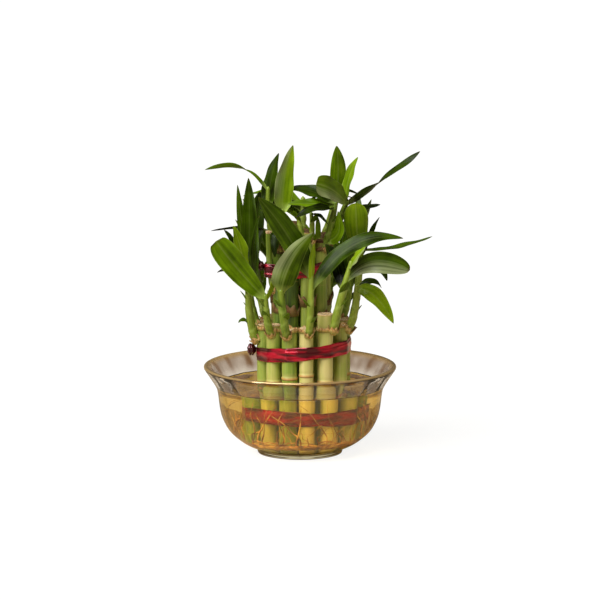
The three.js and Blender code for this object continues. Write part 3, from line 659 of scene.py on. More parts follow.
def blade_skin(blade, grid, slot, wave=0.0):
    """A leaf blade. Along the leaf its middle follows the curve. Across, it is an arc whose opening falls
    from a folded neck to a shallow channel: x = h sin(f s) / f and y = h (1 - cos(f s)) / f, with s from -1
    to 1 between the edges, h the half width and f the opening. The edges wave, the midrib is sunk on top
    and stands out below, and top and underside meet in a thin edge. place is (s, t, tone)."""
    rows, columns = grid
    t = np.linspace(0, 1, rows + 1)[:-1]
    t = t * (1.6 - 0.6 * t)
    along = t[:, None]
    s = np.sin(np.linspace(-1, 1, columns) * np.pi / 2)
    side, up = blade_frame(blade, t, blade["twist"])
    half = blade_half(blade, along)
    opening = 0.42 + 1.7 * np.exp(-((along / 0.09) ** 2))
    x = half * np.sin(opening * s) / opening
    y = half * (1 - np.cos(opening * s)) / opening
    phase = 7 * blade["tone"] + blade["wide"]
    ripple = np.sin(FULL_TURN * 2.3 * along + phase + 1.9 * (s > 0))
    y = y + wave * half * np.abs(s) ** 3 * ripple * smooth_step(along, 0.1, 0.3)
    depth = BLADE_THICK * (1 - 0.75 * np.abs(s)) * (1 - 0.5 * along) + 0.08
    groove = 0.3 * np.exp(-((s / 0.09) ** 2)) * smooth_step(along, 0.1, 0.25) * (1 - along)
    base = bezier(blade["curve"], t)[:, None] + side[:, None] * x[..., None]
    top = base + up[:, None] * (y + depth - groove)[..., None]
    below = base + up[:, None] * (y - groove * 0.8)[..., None]
    rings = np.concatenate([top, below[:, ::-1]], 1)
    place = together(np.append(s, s[::-1]), along, blade["tone"])
    return skin(rings, place, slot, ends=(rings[0].mean(0), bezier(blade["curve"], 1)))


def scale_blade(stem, scale):
    """Small dry scale leaf on a shoot, standing off it."""
    at, azimuth, length = scale
    base = bezier(stem["curve"], at)
    bend = base + away(azimuth) * 0.45 * length + UP * 0.5 * length
    tip = base + away(azimuth) * 0.75 * length + UP * length
    return {**leaf(at, bend, tip, 0.62 * length, 0, tone=0.5), "curve": (base, bend, tip)}


def round_path(along, turn, hint=(0.3, 1, 0.1)):
    """Directions at right angles to a path, at each angle of turn about it."""
    side = unit(np.cross(along, hint))
    front = np.cross(along, side)
    return side[..., None, :] * np.cos(turn)[:, None] + front[..., None, :] * np.sin(turn)[:, None]


def stem_skin(stem, number, slot, cut_slot):
    """A shoot: round, and wrapped in leaf sheaths that end in oblique rims. Its radius is the girth times a
    profile of the place along it, where the place moves by 0.05 cos(angle from the side where that sheath is
    longest). place is (0, that place, tone)."""
    t = np.linspace(0, 1, 49)
    turn = angles(16)
    slanted = t[:, None] + 0.05 * np.cos(turn - 2.2 * number - 2 * (t[:, None] > 0.58))
    stations = (0, 0.1, *(rim + step for rim in SHEATH_RIMS for step in (-0.01, 0.01)), 1)
    swell = (0.75, 1.0, 1.03, 0.98, 1.05, 0.94, 0.98, 0.86, 0.95 if stem["cut"] else 0.62)
    radius = stem["girth"] * np.interp(slanted, stations, swell)
    along = heading(stem["curve"], t)
    middle = bezier(stem["curve"], t)
    rings = middle[:, None] + round_path(along, turn) * radius[..., None]
    end = middle[-1] + along[-1] * (0 if stem["cut"] else 0.6 * stem["girth"])
    slots = np.full(len(t) - 1, slot)
    if stem["cut"]:
        slots[-1] = cut_slot
    tone = 0.3 + 0.13 * (number % 5)
    return skin(rings, together(0, slanted, tone), slots, ends=(middle[0], end))


def on_cane(foot, head, height):
    """The middle of a cane at a height."""
    share = (height - foot[2]) / (head[2] - foot[2])
    return foot * (1 - share) + head * share


def cane_skin(plant, slot, cut_slot):
    """A cane: round, with a low ridge and a groove at each node, faint ribs, and a flat cut top with a worn
    edge. The radius is r + 0.4 e^-(d/0.9)^2 - 0.2 e^-((d-2)/1.2)^2 + 0.06 cos(9 angle), d the height above
    the node. place is (height below the cut, height above the nearest node, tone), in mm."""
    foot, head = plant["foot"], plant["head"]
    nodes = np.array([*plant["nodes"], foot[2] + 4, foot[2] + (plant["nodes"][0] - foot[2]) * 0.48])
    near = (nodes[:, None] + np.linspace(-4, 5, 19)).ravel()
    heights = np.unique(np.append(np.linspace(foot[2], head[2] - 0.5, 60), near).round(3))
    heights = heights[(heights >= foot[2]) & (heights <= head[2] - 0.5)]
    offsets = heights[:, None] - nodes
    above = offsets[np.arange(len(heights)), np.abs(offsets).argmin(1)]
    turn = angles(28)
    radius = plant["radius"] + 0.4 * np.exp(-((above / 0.9) ** 2)) - 0.2 * np.exp(-(((above - 2) / 1.2) ** 2))
    radius = radius[:, None] + 0.06 * np.cos(9 * turn + plant["azimuth"])
    edge = radius[-1] - np.array([0.25, 0.8, 2.2])[:, None]
    radius = np.concatenate([radius, edge])
    heights = np.append(heights, head[2] - np.array([0.1, 0, 0.25]))
    above = np.append(above, np.full(3, above[-1]))
    rings = on_cane(foot, head, heights[:, None])[:, None] + turned(radius, 0, turn)
    place = together(head[2] - heights, above, plant["tone"])[:, None]
    slots = np.full(len(heights) - 1, slot)
    slots[-3:] = cut_slot
    return skin(rings, place, slots, ends=(foot, head - 0.3 * UP))


def torn_skin(middle, along, radius, tall, seed, slot):
    """Torn remains of a dry sheath round a stem: a thin double wall whose upper edge is torn to a height of
    tall (0.3 + 0.7 x), x a sum of sines of the angle, and flares outward as it rises. place is (0, share of
    the height, tone)."""
    turn = angles(44)
    torn = 0.5 + 0.25 * np.sin(3 * turn + seed) + 0.25 * np.sin(7 * turn + 2 * seed)
    up = np.array([0, 0.5, 1, 1, 0.5, 0])[:, None]
    wall = np.array([0.75, 0.7, 0.45, 0.2, 0.1, 0.1])[:, None]
    reach = radius + wall + 0.2 * tall * up**2 * torn
    rise = up * tall * (0.3 + 0.7 * torn) - 0.8
    rings = middle + round_path(along, turn) * reach[..., None] + along * rise[..., None]
    return skin(rings, together(0, up, seed % 1), slot, loop=True)


def cane_cuff(plant, height, tall, slot):
    """Torn sheath round a cane at a height."""
    middle = on_cane(plant["foot"], plant["head"], height)
    return torn_skin(middle, UP, plant["radius"], tall, plant["azimuth"] + 0.5, slot)


def tight(canes, height, steps):
    """Points of a band pulled tight round canes at a height, without clearance, the directions outward
    there and the lengths along it: in each direction the outside of the cane that reaches furthest, then
    spaced evenly along the band."""
    turn = angles(3 * steps)
    out = together(np.cos(turn), np.sin(turn))
    middles = np.array([on_cane(foot, head, height)[:2] for foot, head, _ in canes])
    radii = np.array([radius for _, _, radius in canes])
    best = (out @ middles.T + radii).argmax(1)
    points = middles[best] + out * radii[best, None]
    closed = np.concatenate([points, points[:1]])
    run = np.append(0, np.cumsum(np.linalg.norm(np.diff(closed, axis=0), axis=1)))
    even = np.linspace(0, run[-1], steps, endpoint=False)
    place = together(*(np.interp(even, run, part) for part in closed.T))
    ahead = np.roll(place, -1, 0) - np.roll(place, 1, 0)
    return place, unit(together(ahead[:, 1], -ahead[:, 0])), even


def folded(values):
    """Triangle wave from 0 to 1 with a period of 1, for creases with straight sides."""
    return np.abs(values - np.floor(values) - 0.5) * 2


def foil_skin(canes, height, tilt, width, clear, crinkle, seed, dark_foil):
    """One turn of foil ribbon pulled round the canes. Its distance from them is clear, plus creases: two
    triangle waves that run across the ribbon at a slant and one along it. At an angle a from the right its
    middle lies at the height plus the four numbers of its tilt times cos(a), sin(a), sin(2a) and
    sin(1.5a + 0.4) cos(0.5a)^2. The last makes it cross another turn. place is (the share of the dark
    foil colour that it takes, 0, 0)."""
    random = dice(seed)
    phases = [random() for _ in range(4)]
    place, normal, run = tight(canes, height, RIBBON_STEPS)
    run = run[:, None]
    a = np.arctan2(place[:, 1], place[:, 0])
    waves = (np.cos(a), np.sin(a), np.sin(2 * a), np.sin(1.5 * a + 0.4) * np.cos(0.5 * a) ** 2)
    middle = height + sum(most * wave for most, wave in zip(tilt, waves))
    across = np.linspace(-1, 1, 11)
    pinch = 1 - 0.2 * folded(run / 61 + phases[0]) ** 4
    level = middle[:, None] + across * (width / 2) * pinch
    slant = folded(run / 31 + 0.35 * across + phases[1]) ** 2
    counter = folded(run / 47 - 0.4 * across + phases[2]) ** 4
    lengthwise = folded(0.75 * across + 0.2 * np.sin(run / 14) + phases[3])
    lift = clear + crinkle * (0.45 * slant + 0.35 * counter + 0.45 * lengthwise)
    outer = place[:, None] + normal[:, None] * lift[..., None]
    inner = outer - normal[:, None] * FOIL_THICK
    outline = np.concatenate([outer, inner[:, ::-1]], 1)
    level = np.concatenate([level, level[:, ::-1]], 1)
    return skin(np.concatenate([outline, level[..., None]], -1), (dark_foil, 0, 0), loop=True)


def knot_skin(place, radius):
    """The ribbon's knot: a ball stretched upward whose radius is creased by triangle waves round and down it.
    place is (1, 0, 0): it takes the dark foil colour all over, a painted shade of its folds."""
    down = np.linspace(0, np.pi, 26)[1:-1, None]
    turn = angles(40)
    crease = 0.72 + 0.2 * folded(turn * 5 / FULL_TURN + 0.3 * np.cos(down)) + 0.14 * folded(down * 1.4 + 0.2)
    reach = radius * crease
    rings = turned(reach * np.sin(down), reach * np.cos(down), turn) * KNOT_STRETCH
    return skin(rings + place, (1, 0, 0))


def strand_skin(path, thick):
    """A root: a round strand along its path that narrows evenly to a third."""
    directions = round_path(unit(np.gradient(path, axis=0)), angles(STRAND_SIDES), hint=(0.31, 0.17, 0.93))
    radius = thick * np.linspace(1, 0.35, len(path))
    return skin(path[:, None] + directions * radius[:, None, None])


def inside_radius(height):
    """Radius of the bowl's inside at a height."""
    radii, heights = np.array(BOWL_INSIDE[1:]).T
    return np.interp(height, heights, radii)


def mat_skin():
    """The low mat of roots round the foot of the bundle: a ring whose section is an uneven oval, with lumps
    that are sums of sines of the angle round the bundle and round the section."""
    turn = angles(120)[:, None]
    around = angles(14)
    lump = 0.16 * np.sin(9 * turn + 2 * np.sin(3 * turn)) + 0.12 * np.sin(23 * turn + 3 * around)
    reach = MAT_MIDDLE[0] + MAT_HALF[0] * (1 + lump) * np.cos(around)
    level = MAT_MIDDLE[1] + MAT_HALF[1] * (1 + lump) * np.sin(around)
    return skin(together(BUNDLE_X + reach * np.sin(turn), -reach * np.cos(turn), level), loop=True)


def strand(turn, reach, level, thick):
    """A root through points at an azimuth, a distance from the middle of the bundle, kept off the glass,
    and a height."""
    x = BUNDLE_X + reach * np.sin(turn)
    y = -reach * np.cos(turn)
    kept = np.minimum(1, (inside_radius(level) - OFF_GLASS) / np.hypot(x, y))
    return strand_skin(together(x * kept, y * kept, level), thick)


def climbing_roots(count):
    """Strands that climb the canes from the mat, drifting sideways and waving. Every fourth one leaves the
    canes and hangs out to the glass in a bow."""
    random = dice(CLIMBING_SEED)
    t = np.linspace(0, 1, 15)
    for number in range(count):
        start = FULL_TURN * (number + random()) / count
        drift = 1.1 * (random() - 0.5)
        top = 24 + 23 * random()
        waves = 3 + 6 * random()
        out = 13 * random() if number % 4 == 0 else 1.5 * random()
        turn = start + drift * t**2 + 0.05 * np.sin(waves * t + start)
        reach = 37 + out * np.sin(np.pi * t) + 0.7 * np.sin(waves * 1.7 * t)
        level = 13 + (top - 13) * t + 0.8 * np.sin(2 * waves * t)
        yield strand(turn, reach, level, 0.3 + 0.45 * random() ** 2)


def tangled_roots(count):
    """Strands that lie in and on the mat, each for a part of the way round, winding up and down and in and
    out."""
    random = dice(TANGLE_SEED)
    t = np.linspace(0, 1, 15)
    for _ in range(count):
        start = FULL_TURN * random()
        run = (0.5 + 0.9 * random()) * (1 if random() > 0.5 else -1)
        waves = 5 + 9 * random()
        reach = 36.5 + 4.5 * random() + 1.4 * np.sin(waves * t + start)
        level = 12.6 + 4.5 * random() + 1.6 * np.sin(waves * 0.8 * t + 2 * start)
        yield strand(start + run * t, reach, np.maximum(level, 12), 0.35 + 0.4 * random() ** 2)


def plant_skins(plant, wave):
    """All surfaces of one plant: the cane, torn sheaths at its nodes, and its shoots with their leaves."""
    outer = "outer" in plant["name"]
    low, high = plant["nodes"]
    yield cane_skin(plant, CANE, PITH if outer else OLD)
    yield cane_cuff(plant, high, HIGH_CUFF, DRY if outer else OLD)
    if not outer:
        yield cane_cuff(plant, low, LOW_CUFF, OLD)
    for number, stem in enumerate(plant["shoots"]):
        yield stem_skin(stem, number + low, SHOOT, PITH)
        foot, along = bezier(stem["curve"], SHEATHED), heading(stem["curve"], SHEATHED)
        seed = plant["azimuth"] + number + 0.2
        yield torn_skin(foot, along, 1.02 * stem["girth"], SHOOT_CUFF, seed, DRY)
        for blade in stem["leaves"]:
            yield blade_skin(blade, LEAF_GRID, LEAF, wave)
        for scale in stem["scales"]:
            yield blade_skin(scale_blade(stem, scale), SCALE_GRID, LEAF)


# Stage


def lay_floor(look):
    """A square of lit acrylic that reaches past the picture's edges."""
    mesh = bpy.data.meshes.new("studio_floor")
    corners = [(x * FLOOR_HALF, y * FLOOR_HALF, 0) for x, y in ((-1, -1), (1, -1), (1, 1), (-1, 1))]
    mesh.from_pydata(corners, [], [(0, 1, 2, 3)])
    mesh.materials.append(floor_material(tuple(look.floor)))
    floor = bpy.data.objects.new("studio_floor", mesh)
    bpy.context.scene.collection.objects.link(floor)


def stand(scene, thing, place, target):
    """Stands a lamp or camera in the scene at a place, looking at a target."""
    stood = bpy.data.objects.new(thing.name, thing)
    scene.collection.objects.link(stood)
    stood.location = place
    stood.rotation_euler = (Vector(target) - Vector(place)).to_track_quat("-Z", "Y").to_euler()
    return stood


def set_light(scene, look):
    """A wide soft lamp from the upper left in front, a tall box on the left, and an even, warm, pale room,
    which is brighter behind the glass than in what it lights."""
    sun = bpy.data.lights.new("key", "SUN")
    sun.energy = look.key
    sun.angle = KEY_ANGLE
    stand(scene, sun, KEY_PLACE, KEY_AIM)
    box = bpy.data.lights.new("tall_box", "AREA")
    box.shape = "RECTANGLE"
    box.size, box.size_y = BOX_SIZE
    box.energy = BOX_POWER
    stand(scene, box, BOX_PLACE, BOX_AIM)
    world = bpy.data.worlds.new("room")
    world.use_nodes = True
    tree = world.node_tree
    tree.nodes.clear()
    through = add(tree, "LightPath", out="Is Transmission Ray")
    strength = add(tree, "MapRange", (through, 0.0, 1.0, look.room, ROOM_THROUGH_GLASS))
    light = add(tree, "Background", ((*linear(ROOM_COLOUR), 1), strength))
    add(tree, "OutputWorld", (light,), None)
    scene.world = world


def set_camera(scene, look):
    """The picture's camera: straight ahead, at a distance, looking down by the elevation."""
    lens = bpy.data.cameras.new("camera")
    lens.lens = lens.sensor_width * look.distance / look.view_width
    lens.clip_end = 4 * look.distance
    level, down = np.cos(look.elevation), np.sin(look.elevation)
    place = (0, -look.distance * level, look.aim + look.distance * down)
    scene.camera = stand(scene, lens, place, (0, 0, look.aim))
    scene.view_settings.view_transform = "Standard"


# Materials

# The limits of a layer whose share of the colour is its value itself
AS_IT_IS = (0.0, 1.0, 0.0, 1.0)


def add(tree, kind, inputs=(), out=0, stops=(), **settings):
    """Adds a shader node and gives its output with that name or number, or all of them where out is None.
    inputs are values or other nodes' outputs, in the order of the node's inputs or by name, settings are the
    node's own, and stops are a colour ramp's places and colours."""
    node = tree.nodes.new(f"ShaderNode{kind}")
    for name, value in settings.items():
        setattr(node, name, value)
    for name, value in inputs.items() if isinstance(inputs, dict) else enumerate(inputs):
        if isinstance(value, bpy.types.NodeSocket):
            tree.links.new(value, node.inputs[name])
        else:
            node.inputs[name].default_value = value
    for number, (position, colour) in enumerate(stops):
        ramp = node.color_ramp.elements
        element = ramp[number] if number < 2 else ramp.new(position)
        element.position = position
        element.color = (*colour, 1)
    return node.outputs if out is None else node.outputs[out]


def new_material(name):
    """An empty node material, its tree, and the place on the piece, its Object coordinates."""
    material = bpy.data.materials.new(name)
    material.use_nodes = True
    tree = material.node_tree
    tree.nodes.clear()
    return material, tree, add(tree, "TexCoord", out="Object")


def finished(material, inputs, lamps_pass=False):
    """The material with its surface. Where lamps_pass, it lets the rays from lamps through, so that what is
    behind it is lit softly."""
    tree = material.node_tree
    surface = add(tree, "BsdfPrincipled", inputs)
    if lamps_pass:
        lamps = add(tree, "LightPath", out="Is Shadow Ray")
        clear = add(tree, "BsdfTransparent", ((*linear(LAMP_LIGHT_PASSED), 1),))
        surface = add(tree, "MixShader", (lamps, surface, clear))
    add(tree, "OutputMaterial", (surface,), None)
    return material


def places(tree):
    """The three numbers that the mesh's place attribute holds, and the whole vector."""
    vector = add(tree, "Attribute", out="Vector", attribute_name="place")
    return *add(tree, "SeparateXYZ", (vector,), None), vector


def per_metre(*millimetres):
    """How many features of each size in millimetres fit in a metre."""
    return tuple(1 / (size * MM) for size in millimetres)


def texture(tree, vector, stretch, detail=2.0):
    """Noise on a vector that is first multiplied by stretch, features per unit each way."""
    stretched = add(tree, "VectorMath", (vector, stretch), operation="MULTIPLY")
    return add(tree, "TexNoise", {"Vector": stretched, "Scale": 1.0, "Detail": detail}, "Fac")


def varied(tree, value, *parts):
    """A value with textures added. Each adds from minus to plus its most, over its width either side of the
    texture's middle."""
    for part, width, most in parts:
        change = add(tree, "MapRange", (part, 0.5 - width, 0.5 + width, -most, most))
        value = add(tree, "Math", (value, change), operation="ADD")
    return value


def layered(tree, colour, *layers):
    """A colour with layers over it. Each layer is a value, the two values between which its share runs, its
    share at either, and its colour."""
    for value, low, high, first, second, over in layers:
        share = add(tree, "MapRange", (value, low, high, first, second))
        inputs = {"Factor": share, "A": colour, "B": (*over, 1)}
        colour = add(tree, "Mix", inputs, "Result", data_type="RGBA")
    return colour


def glass_material(look):
    """Pressed soda-lime glass: clear, grey-rose in the eye, with a sharp gloss and slow ripples from the
    mould. On the flare, most of all at the back, and at the panels' seams it is tinted dark brown by a
    painted reflection of a dim room. It turns brown under the rim, and on the lip it has a thin worn gold
    that is also a painted highlight, a bright gold line along its front. The thick foot looks olive."""
    material, tree, spot = new_material("pressed_glass_painted_reflection")
    x, y, height = add(tree, "SeparateXYZ", (spot,), None)
    ripple = texture(tree, spot, per_metre(9, 9, 22), 1.0)
    # Painted reflection: the share of a dim brown room's reflection that is painted on the glass. It is
    # larger on the ripples and at the panels' seams, faint below the flare and grows towards the back.
    turn = add(tree, "Math", (y, x), operation="ARCTAN2")
    turn = add(tree, "Math", (turn, PANELS / FULL_TURN), operation="MULTIPLY")
    seam = add(tree, "Math", (turn, 0.5), operation="PINGPONG")
    rippled = add(tree, "MapRange", (ripple, 0.35, 0.7))
    seamed = add(tree, "MapRange", (seam, 0.0, 0.18, 0.8, 0.0))
    painted_reflection_share = add(tree, "Math", (rippled, seamed), operation="ADD")
    painted_reflection_share = add(tree, "MapRange", (painted_reflection_share, 0.0, 1.4, 0.6, 1.0))
    for where, (low, high), least in ((height, FLARE, 0.1), (y, FRONT_TO_BACK, 0.4)):
        share = add(tree, "MapRange", (where, low * MM, high * MM, least, 1.0))
        painted_reflection_share = add(tree, "Math", (painted_reflection_share, share), operation="MULTIPLY")
    # The lip: a thin worn gold, partly opaque and a little metallic, that is also a painted highlight, a
    # bright gold line all along its front.
    lip = add(tree, "MapRange", (height, LIP[0] * MM, LIP[1] * MM))
    inputs = {
        "Base Color": layered(
            tree, (*look.tint, 1),
            (height, FOOT[0] * MM, FOOT[1] * MM, 1.0, 0.0, look.foot),
            (painted_reflection_share, *AS_IT_IS, look.painted_reflection),
            (height, RIM[0] * MM, RIM[1] * MM, 0.0, 0.8, look.rim),
            (lip, *AS_IT_IS, look.lustre_and_painted_light),
        ),
        "Metallic": add(tree, "Math", (lip, 0.3), operation="MULTIPLY"),
        "Roughness": look.roughness,
        "IOR": 1.5,
        "Transmission Weight": add(tree, "MapRange", (lip, 0.0, 1.0, 1.0, 0.45)),
        "Normal": add(tree, "Bump", {"Height": ripple, "Distance": 0.5 * MM, "Strength": 0.2}),
    }
    return finished(material, inputs, lamps_pass=True)


def water_material(look):
    """Water that has stood on roots for weeks: clear and stained amber like weak tea, with a level, shiny top
    whose thin film of dust and wax mirrors the wall behind it."""
    material, tree, spot = new_material("stained_water")
    height = add(tree, "SeparateXYZ", (spot,), "Z")
    inputs = {
        "Base Color": (*look.tint, 1),
        "Roughness": 0.0,
        "IOR": 1.33,
        "Transmission Weight": 1.0,
        "Coat Weight": add(tree, "MapRange", (height, look.level - 0.5 * MM, look.level - 0.1 * MM)),
        "Coat Roughness": 0.02,
        "Coat IOR": 1.8,
    }
    return finished(material, inputs, lamps_pass=True)


def leaf_material(look):
    """Dracaena leaf with a wax skin: deep green with fine veins side by side along it, a paler midrib and
    edge, a cream sheath at its foot and a dry point, and a broad soft gloss. Real veins stand 0.5 mm apart:
    they are drawn 1.5 mm apart so that they show. A tone from 1 up has a painted sheen, a pale grey-green
    highlight, on one side of the midrib, and from 2 up on the other."""
    material, tree, spot = new_material("waxed_leaf")
    across, along, tone, vector = places(tree)
    from_middle = add(tree, "Math", (across,), operation="ABSOLUTE")
    veins = texture(tree, vector, (6.0, 0.8, 9.0), 3.0)
    mottle = texture(tree, spot, per_metre(14, 14, 14))
    deep = add(tree, "Math", (tone,), operation="FRACT")
    shade = varied(tree, deep, (mottle, 0.2, 0.14), (veins, 0.15, 0.1))
    stops = (
        (0.0, look.leaf_shaded),
        (0.35, look.leaf_deep),
        (0.65, look.leaf_fresh),
        (1.0, look.leaf_young),
    )
    rib = add(tree, "MapRange", (from_middle, 0.03, 0.1, 0.3, 0.0))
    edge = add(tree, "MapRange", (from_middle, 0.92, 0.99, 0.0, 0.45))
    pale = add(tree, "Math", (rib, edge), operation="ADD")
    pale = add(tree, "Math", (pale, deep), operation="MULTIPLY")
    # Painted sheen: leaves with a tone from 1 up get a pale grey-green highlight painted on one side of the
    # midrib, from a little way above the foot to the point.
    side = add(tree, "MapRange", (tone, 1.9, 2.0, -0.6, 0.6))
    uneven = add(tree, "Math", (across, side, 0.5), operation="MULTIPLY_ADD")
    uneven = varied(tree, uneven, (veins, 0.2, 0.25))
    painted_sheen_share = add(tree, "Math", (tone, 0.999), operation="GREATER_THAN")
    for limits in ((along, 0.05, 0.3), (uneven, 0.42, 0.95, 0.0, 0.65)):
        share = add(tree, "MapRange", limits)
        painted_sheen_share = add(tree, "Math", (painted_sheen_share, share), operation="MULTIPLY")
    inputs = {
        "Base Color": layered(
            tree, add(tree, "ValToRGB", (shade,), stops=stops),
            (pale, *AS_IT_IS, look.sheath),
            (painted_sheen_share, *AS_IT_IS, look.painted_sheen),
            (along, 0.02, 0.16, 0.75, 0.0, look.sheath),
            (along, 0.96, 1.0, 0.0, 0.5, look.dry_dark),
        ),
        "Roughness": add(tree, "MapRange", (veins, 0.3, 0.7, 0.26, 0.38)),
        "IOR": 1.42,
        "Specular IOR Level": 0.12,
        "Coat Weight": 0.05,
        "Coat Roughness": 0.2,
        "Normal": add(tree, "Bump", {"Height": veins, "Distance": 0.25 * MM, "Strength": 0.5}),
    }
    return finished(material, inputs)


def cane_material(look):
    """Skin of a cut dracaena cane: smooth and waxy, green to straw, with fine fibres along it, a tan scar
    with a brown line at each node, a bleached zone above, and a worn edge at the cut."""
    material, tree, spot = new_material("waxed_cane")
    below_cut, above_node, tone, _ = places(tree)
    fibres = texture(tree, spot, per_metre(1.4, 1.4, 40), 3.0)
    patches = texture(tree, spot, per_metre(16, 16, 26))
    shade = varied(tree, tone, (patches, 0.2, 0.25), (fibres, 0.2, 0.12))
    shade = add(tree, "MapRange", (shade, -1 / 3, 1.0))
    # The darkest stop is painted shade: it darkens the canes with the lowest tones, which stand in shade deep
    # in the bundle.
    stops = (
        (0.0, look.cane_painted_shade),
        (0.25, look.cane_green),
        (0.625, look.cane_light),
        (1.0, look.cane_straw),
    )
    starts = add(tree, "MapRange", (above_node, 0.5, 1.2, 0.0, 0.45))
    fades = add(tree, "MapRange", (above_node, 1.5, 5.0, 1.0, 0.0))
    bleached = add(tree, "Math", (starts, fades), operation="MULTIPLY")
    from_node = add(tree, "Math", (above_node,), operation="ABSOLUTE")
    from_line = add(tree, "Math", (above_node, 0.9), operation="ADD")
    from_line = add(tree, "Math", (from_line,), operation="ABSOLUTE")
    inputs = {
        "Base Color": layered(
            tree, add(tree, "ValToRGB", (shade,), stops=stops),
            (bleached, *AS_IT_IS, look.cane_straw),
            (from_node, 0.5, 1.3, 0.85, 0.0, look.scar),
            (from_line, 0.15, 0.45, 0.7, 0.0, look.dry_dark),
            (below_cut, 0.6, 1.8, 0.6, 0.0, look.scar),
        ),
        "Roughness": add(tree, "MapRange", (patches, 0.3, 0.7, 0.34, 0.5)),
        "IOR": 1.45,
        "Coat Weight": 0.2,
        "Coat Roughness": 0.25,
        "Normal": add(tree, "Bump", {"Height": fibres, "Distance": 0.2 * MM, "Strength": 0.4}),
    }
    return finished(material, inputs)


def shoot_material(look):
    """Young stem in its leaf sheaths: soft green with fine lines along it, going pale to cream where each
    sheath ends."""
    material, tree, spot = new_material("sheathed_stem")
    _, along, tone, _ = places(tree)
    lines = texture(tree, spot, per_metre(1.2, 1.2, 18))
    shade = varied(tree, tone, (lines, 0.2, 0.3))
    colour = add(tree, "ValToRGB", (shade,), stops=((0.0, look.stem_deep), (1.0, look.stem_fresh)))
    for rim in SHEATH_RIMS:
        from_rim = add(tree, "Math", (along, rim), operation="SUBTRACT")
        from_rim = add(tree, "Math", (from_rim,), operation="ABSOLUTE")
        colour = layered(tree, colour, (from_rim, 0.005, 0.05, 0.3, 0.0, look.sheath))
    inputs = {
        "Base Color": layered(tree, colour, (along, 0.02, 0.12, 0.6, 0.0, look.scar)),
        "Roughness": 0.42,
        "IOR": 1.45,
        "Coat Weight": 0.15,
        "Coat Roughness": 0.3,
        "Normal": add(tree, "Bump", {"Height": lines, "Distance": 0.2 * MM, "Strength": 0.5}),
    }
    return finished(material, inputs)


def dry_material(look, name="dry_sheath", aged=0.0):
    """Dry sheath: papery and matt, straw to brown in streaks, still greenish at its foot and darker at its
    torn edge. An aged one is darker all over, by that share."""
    material, tree, spot = new_material(name)
    along = places(tree)[1]
    streaks = texture(tree, spot, per_metre(1.5, 1.5, 9), 4.0)
    stops = ((0.3, look.dry_dark), (0.48, look.scar), (0.7, look.cane_straw))
    inputs = {
        "Base Color": layered(
            tree, add(tree, "ValToRGB", (streaks,), stops=stops),
            (along, 0.7, 1.0, 0.0, 0.45, look.dry_dark),
            (along, 0.0, 0.5, 0.7, 0.0, look.cane_light),
            (aged, *AS_IT_IS, look.dry_dark),
        ),
        "Roughness": 0.8,
        "Normal": add(tree, "Bump", {"Height": streaks, "Distance": 0.3 * MM, "Strength": 0.8}),
    }
    return finished(material, inputs)


def pith_material(look):
    """Cut end of a cane: dry cream pith with the dots of its fibres, stained brown in places."""
    material, tree, spot = new_material("cut_pith")
    dots = texture(tree, spot, per_metre(0.9, 0.9, 0.9), 1.0)
    stains = texture(tree, spot, per_metre(5, 5, 5))
    stops = ((0.4, look.scar), (0.55, look.pith))
    inputs = {
        "Base Color": layered(
            tree, add(tree, "ValToRGB", (dots,), stops=stops),
            (stains, 0.5, 0.75, 0.0, 0.8, look.dry_dark),
        ),
        "Roughness": 0.75,
        "Normal": add(tree, "Bump", {"Height": dots, "Distance": 0.3 * MM, "Strength": 0.6}),
    }
    return finished(material, inputs)


def root_material(look):
    """Water roots: thin, smooth and wet, from straw to rust orange along their run."""
    material, tree, spot = new_material("water_roots")
    patches = texture(tree, spot, per_metre(6, 6, 6))
    stops = ((0.35, look.dark), (0.5, look.rust), (0.68, look.straw))
    inputs = {
        "Base Color": add(tree, "ValToRGB", (patches,), stops=stops),
        "Roughness": 0.5,
        "Normal": add(tree, "Bump", {"Height": patches, "Distance": 0.4 * MM, "Strength": 0.5}),
    }
    return finished(material, inputs)


def foil_material(look):
    """Metallised gift ribbon: a polyester film with a lacquered aluminium face, deep red, with mirror glints
    that the creases break up."""
    material, tree, spot = new_material("metallised_ribbon")
    creases = texture(tree, spot, per_metre(16, 16, 3.5), 1.5)
    inputs = {
        "Base Color": layered(
            tree, (*look.shaded, 1),
            (creases, 0.4, 0.6, 0.0, 1.0, look.colour),
            # The knot takes the dark foil colour all over, as painted shade of its folds, and the lower
            # ribbon takes it in part, so that it looks darker.
            (places(tree)[0], 0.0, 1.0, 0.0, 0.9, look.dark_foil),
        ),
        "Metallic": 0.55,
        "Roughness": 0.3,
        "Coat Weight": 0.5,
        "Coat Roughness": 0.05,
        "Normal": add(tree, "Bump", {"Height": creases, "Distance": 1.2 * MM, "Strength": 0.6}),
    }
    return finished(material, inputs)


def floor_material(colour):
    """White acrylic lit from below: its white is mostly its own glow, so that shadows on it stay faint.
    What it throws back up at the plant is dimmer and warmer, as with dark wooden screens round the set, so
    that the leaves keep their depth."""
    material, tree, spot = new_material("lit_acrylic")
    grain = texture(tree, spot, per_metre(12, 12, 12))
    shown = [share * FLOOR_SHOWN for share in colour]
    rays = add(tree, "LightPath", out=None)
    through = (rays["Is Glossy Ray"], rays["Is Transmission Ray"])
    mirrored = add(tree, "Math", through, operation="SUBTRACT")
    thrown_back = add(tree, "Math", (rays["Is Diffuse Ray"], mirrored), operation="MAXIMUM")
    inputs = {
        "Base Color": layered(
            tree, (*shown, 1),
            (grain, 0.0, 1.0, 0.0, 0.1, (0.0, 0.0, 0.0)),
            (thrown_back, *AS_IT_IS, linear(FLOOR_BOUNCED)),
        ),
        "Roughness": 0.9,
        "Emission Color": (*colour, 1),
        "Emission Strength": add(tree, "MapRange", (thrown_back, 0.0, 1.0, FLOOR_GLOW, 0.0)),
    }
    return finished(material, inputs)


# Properties


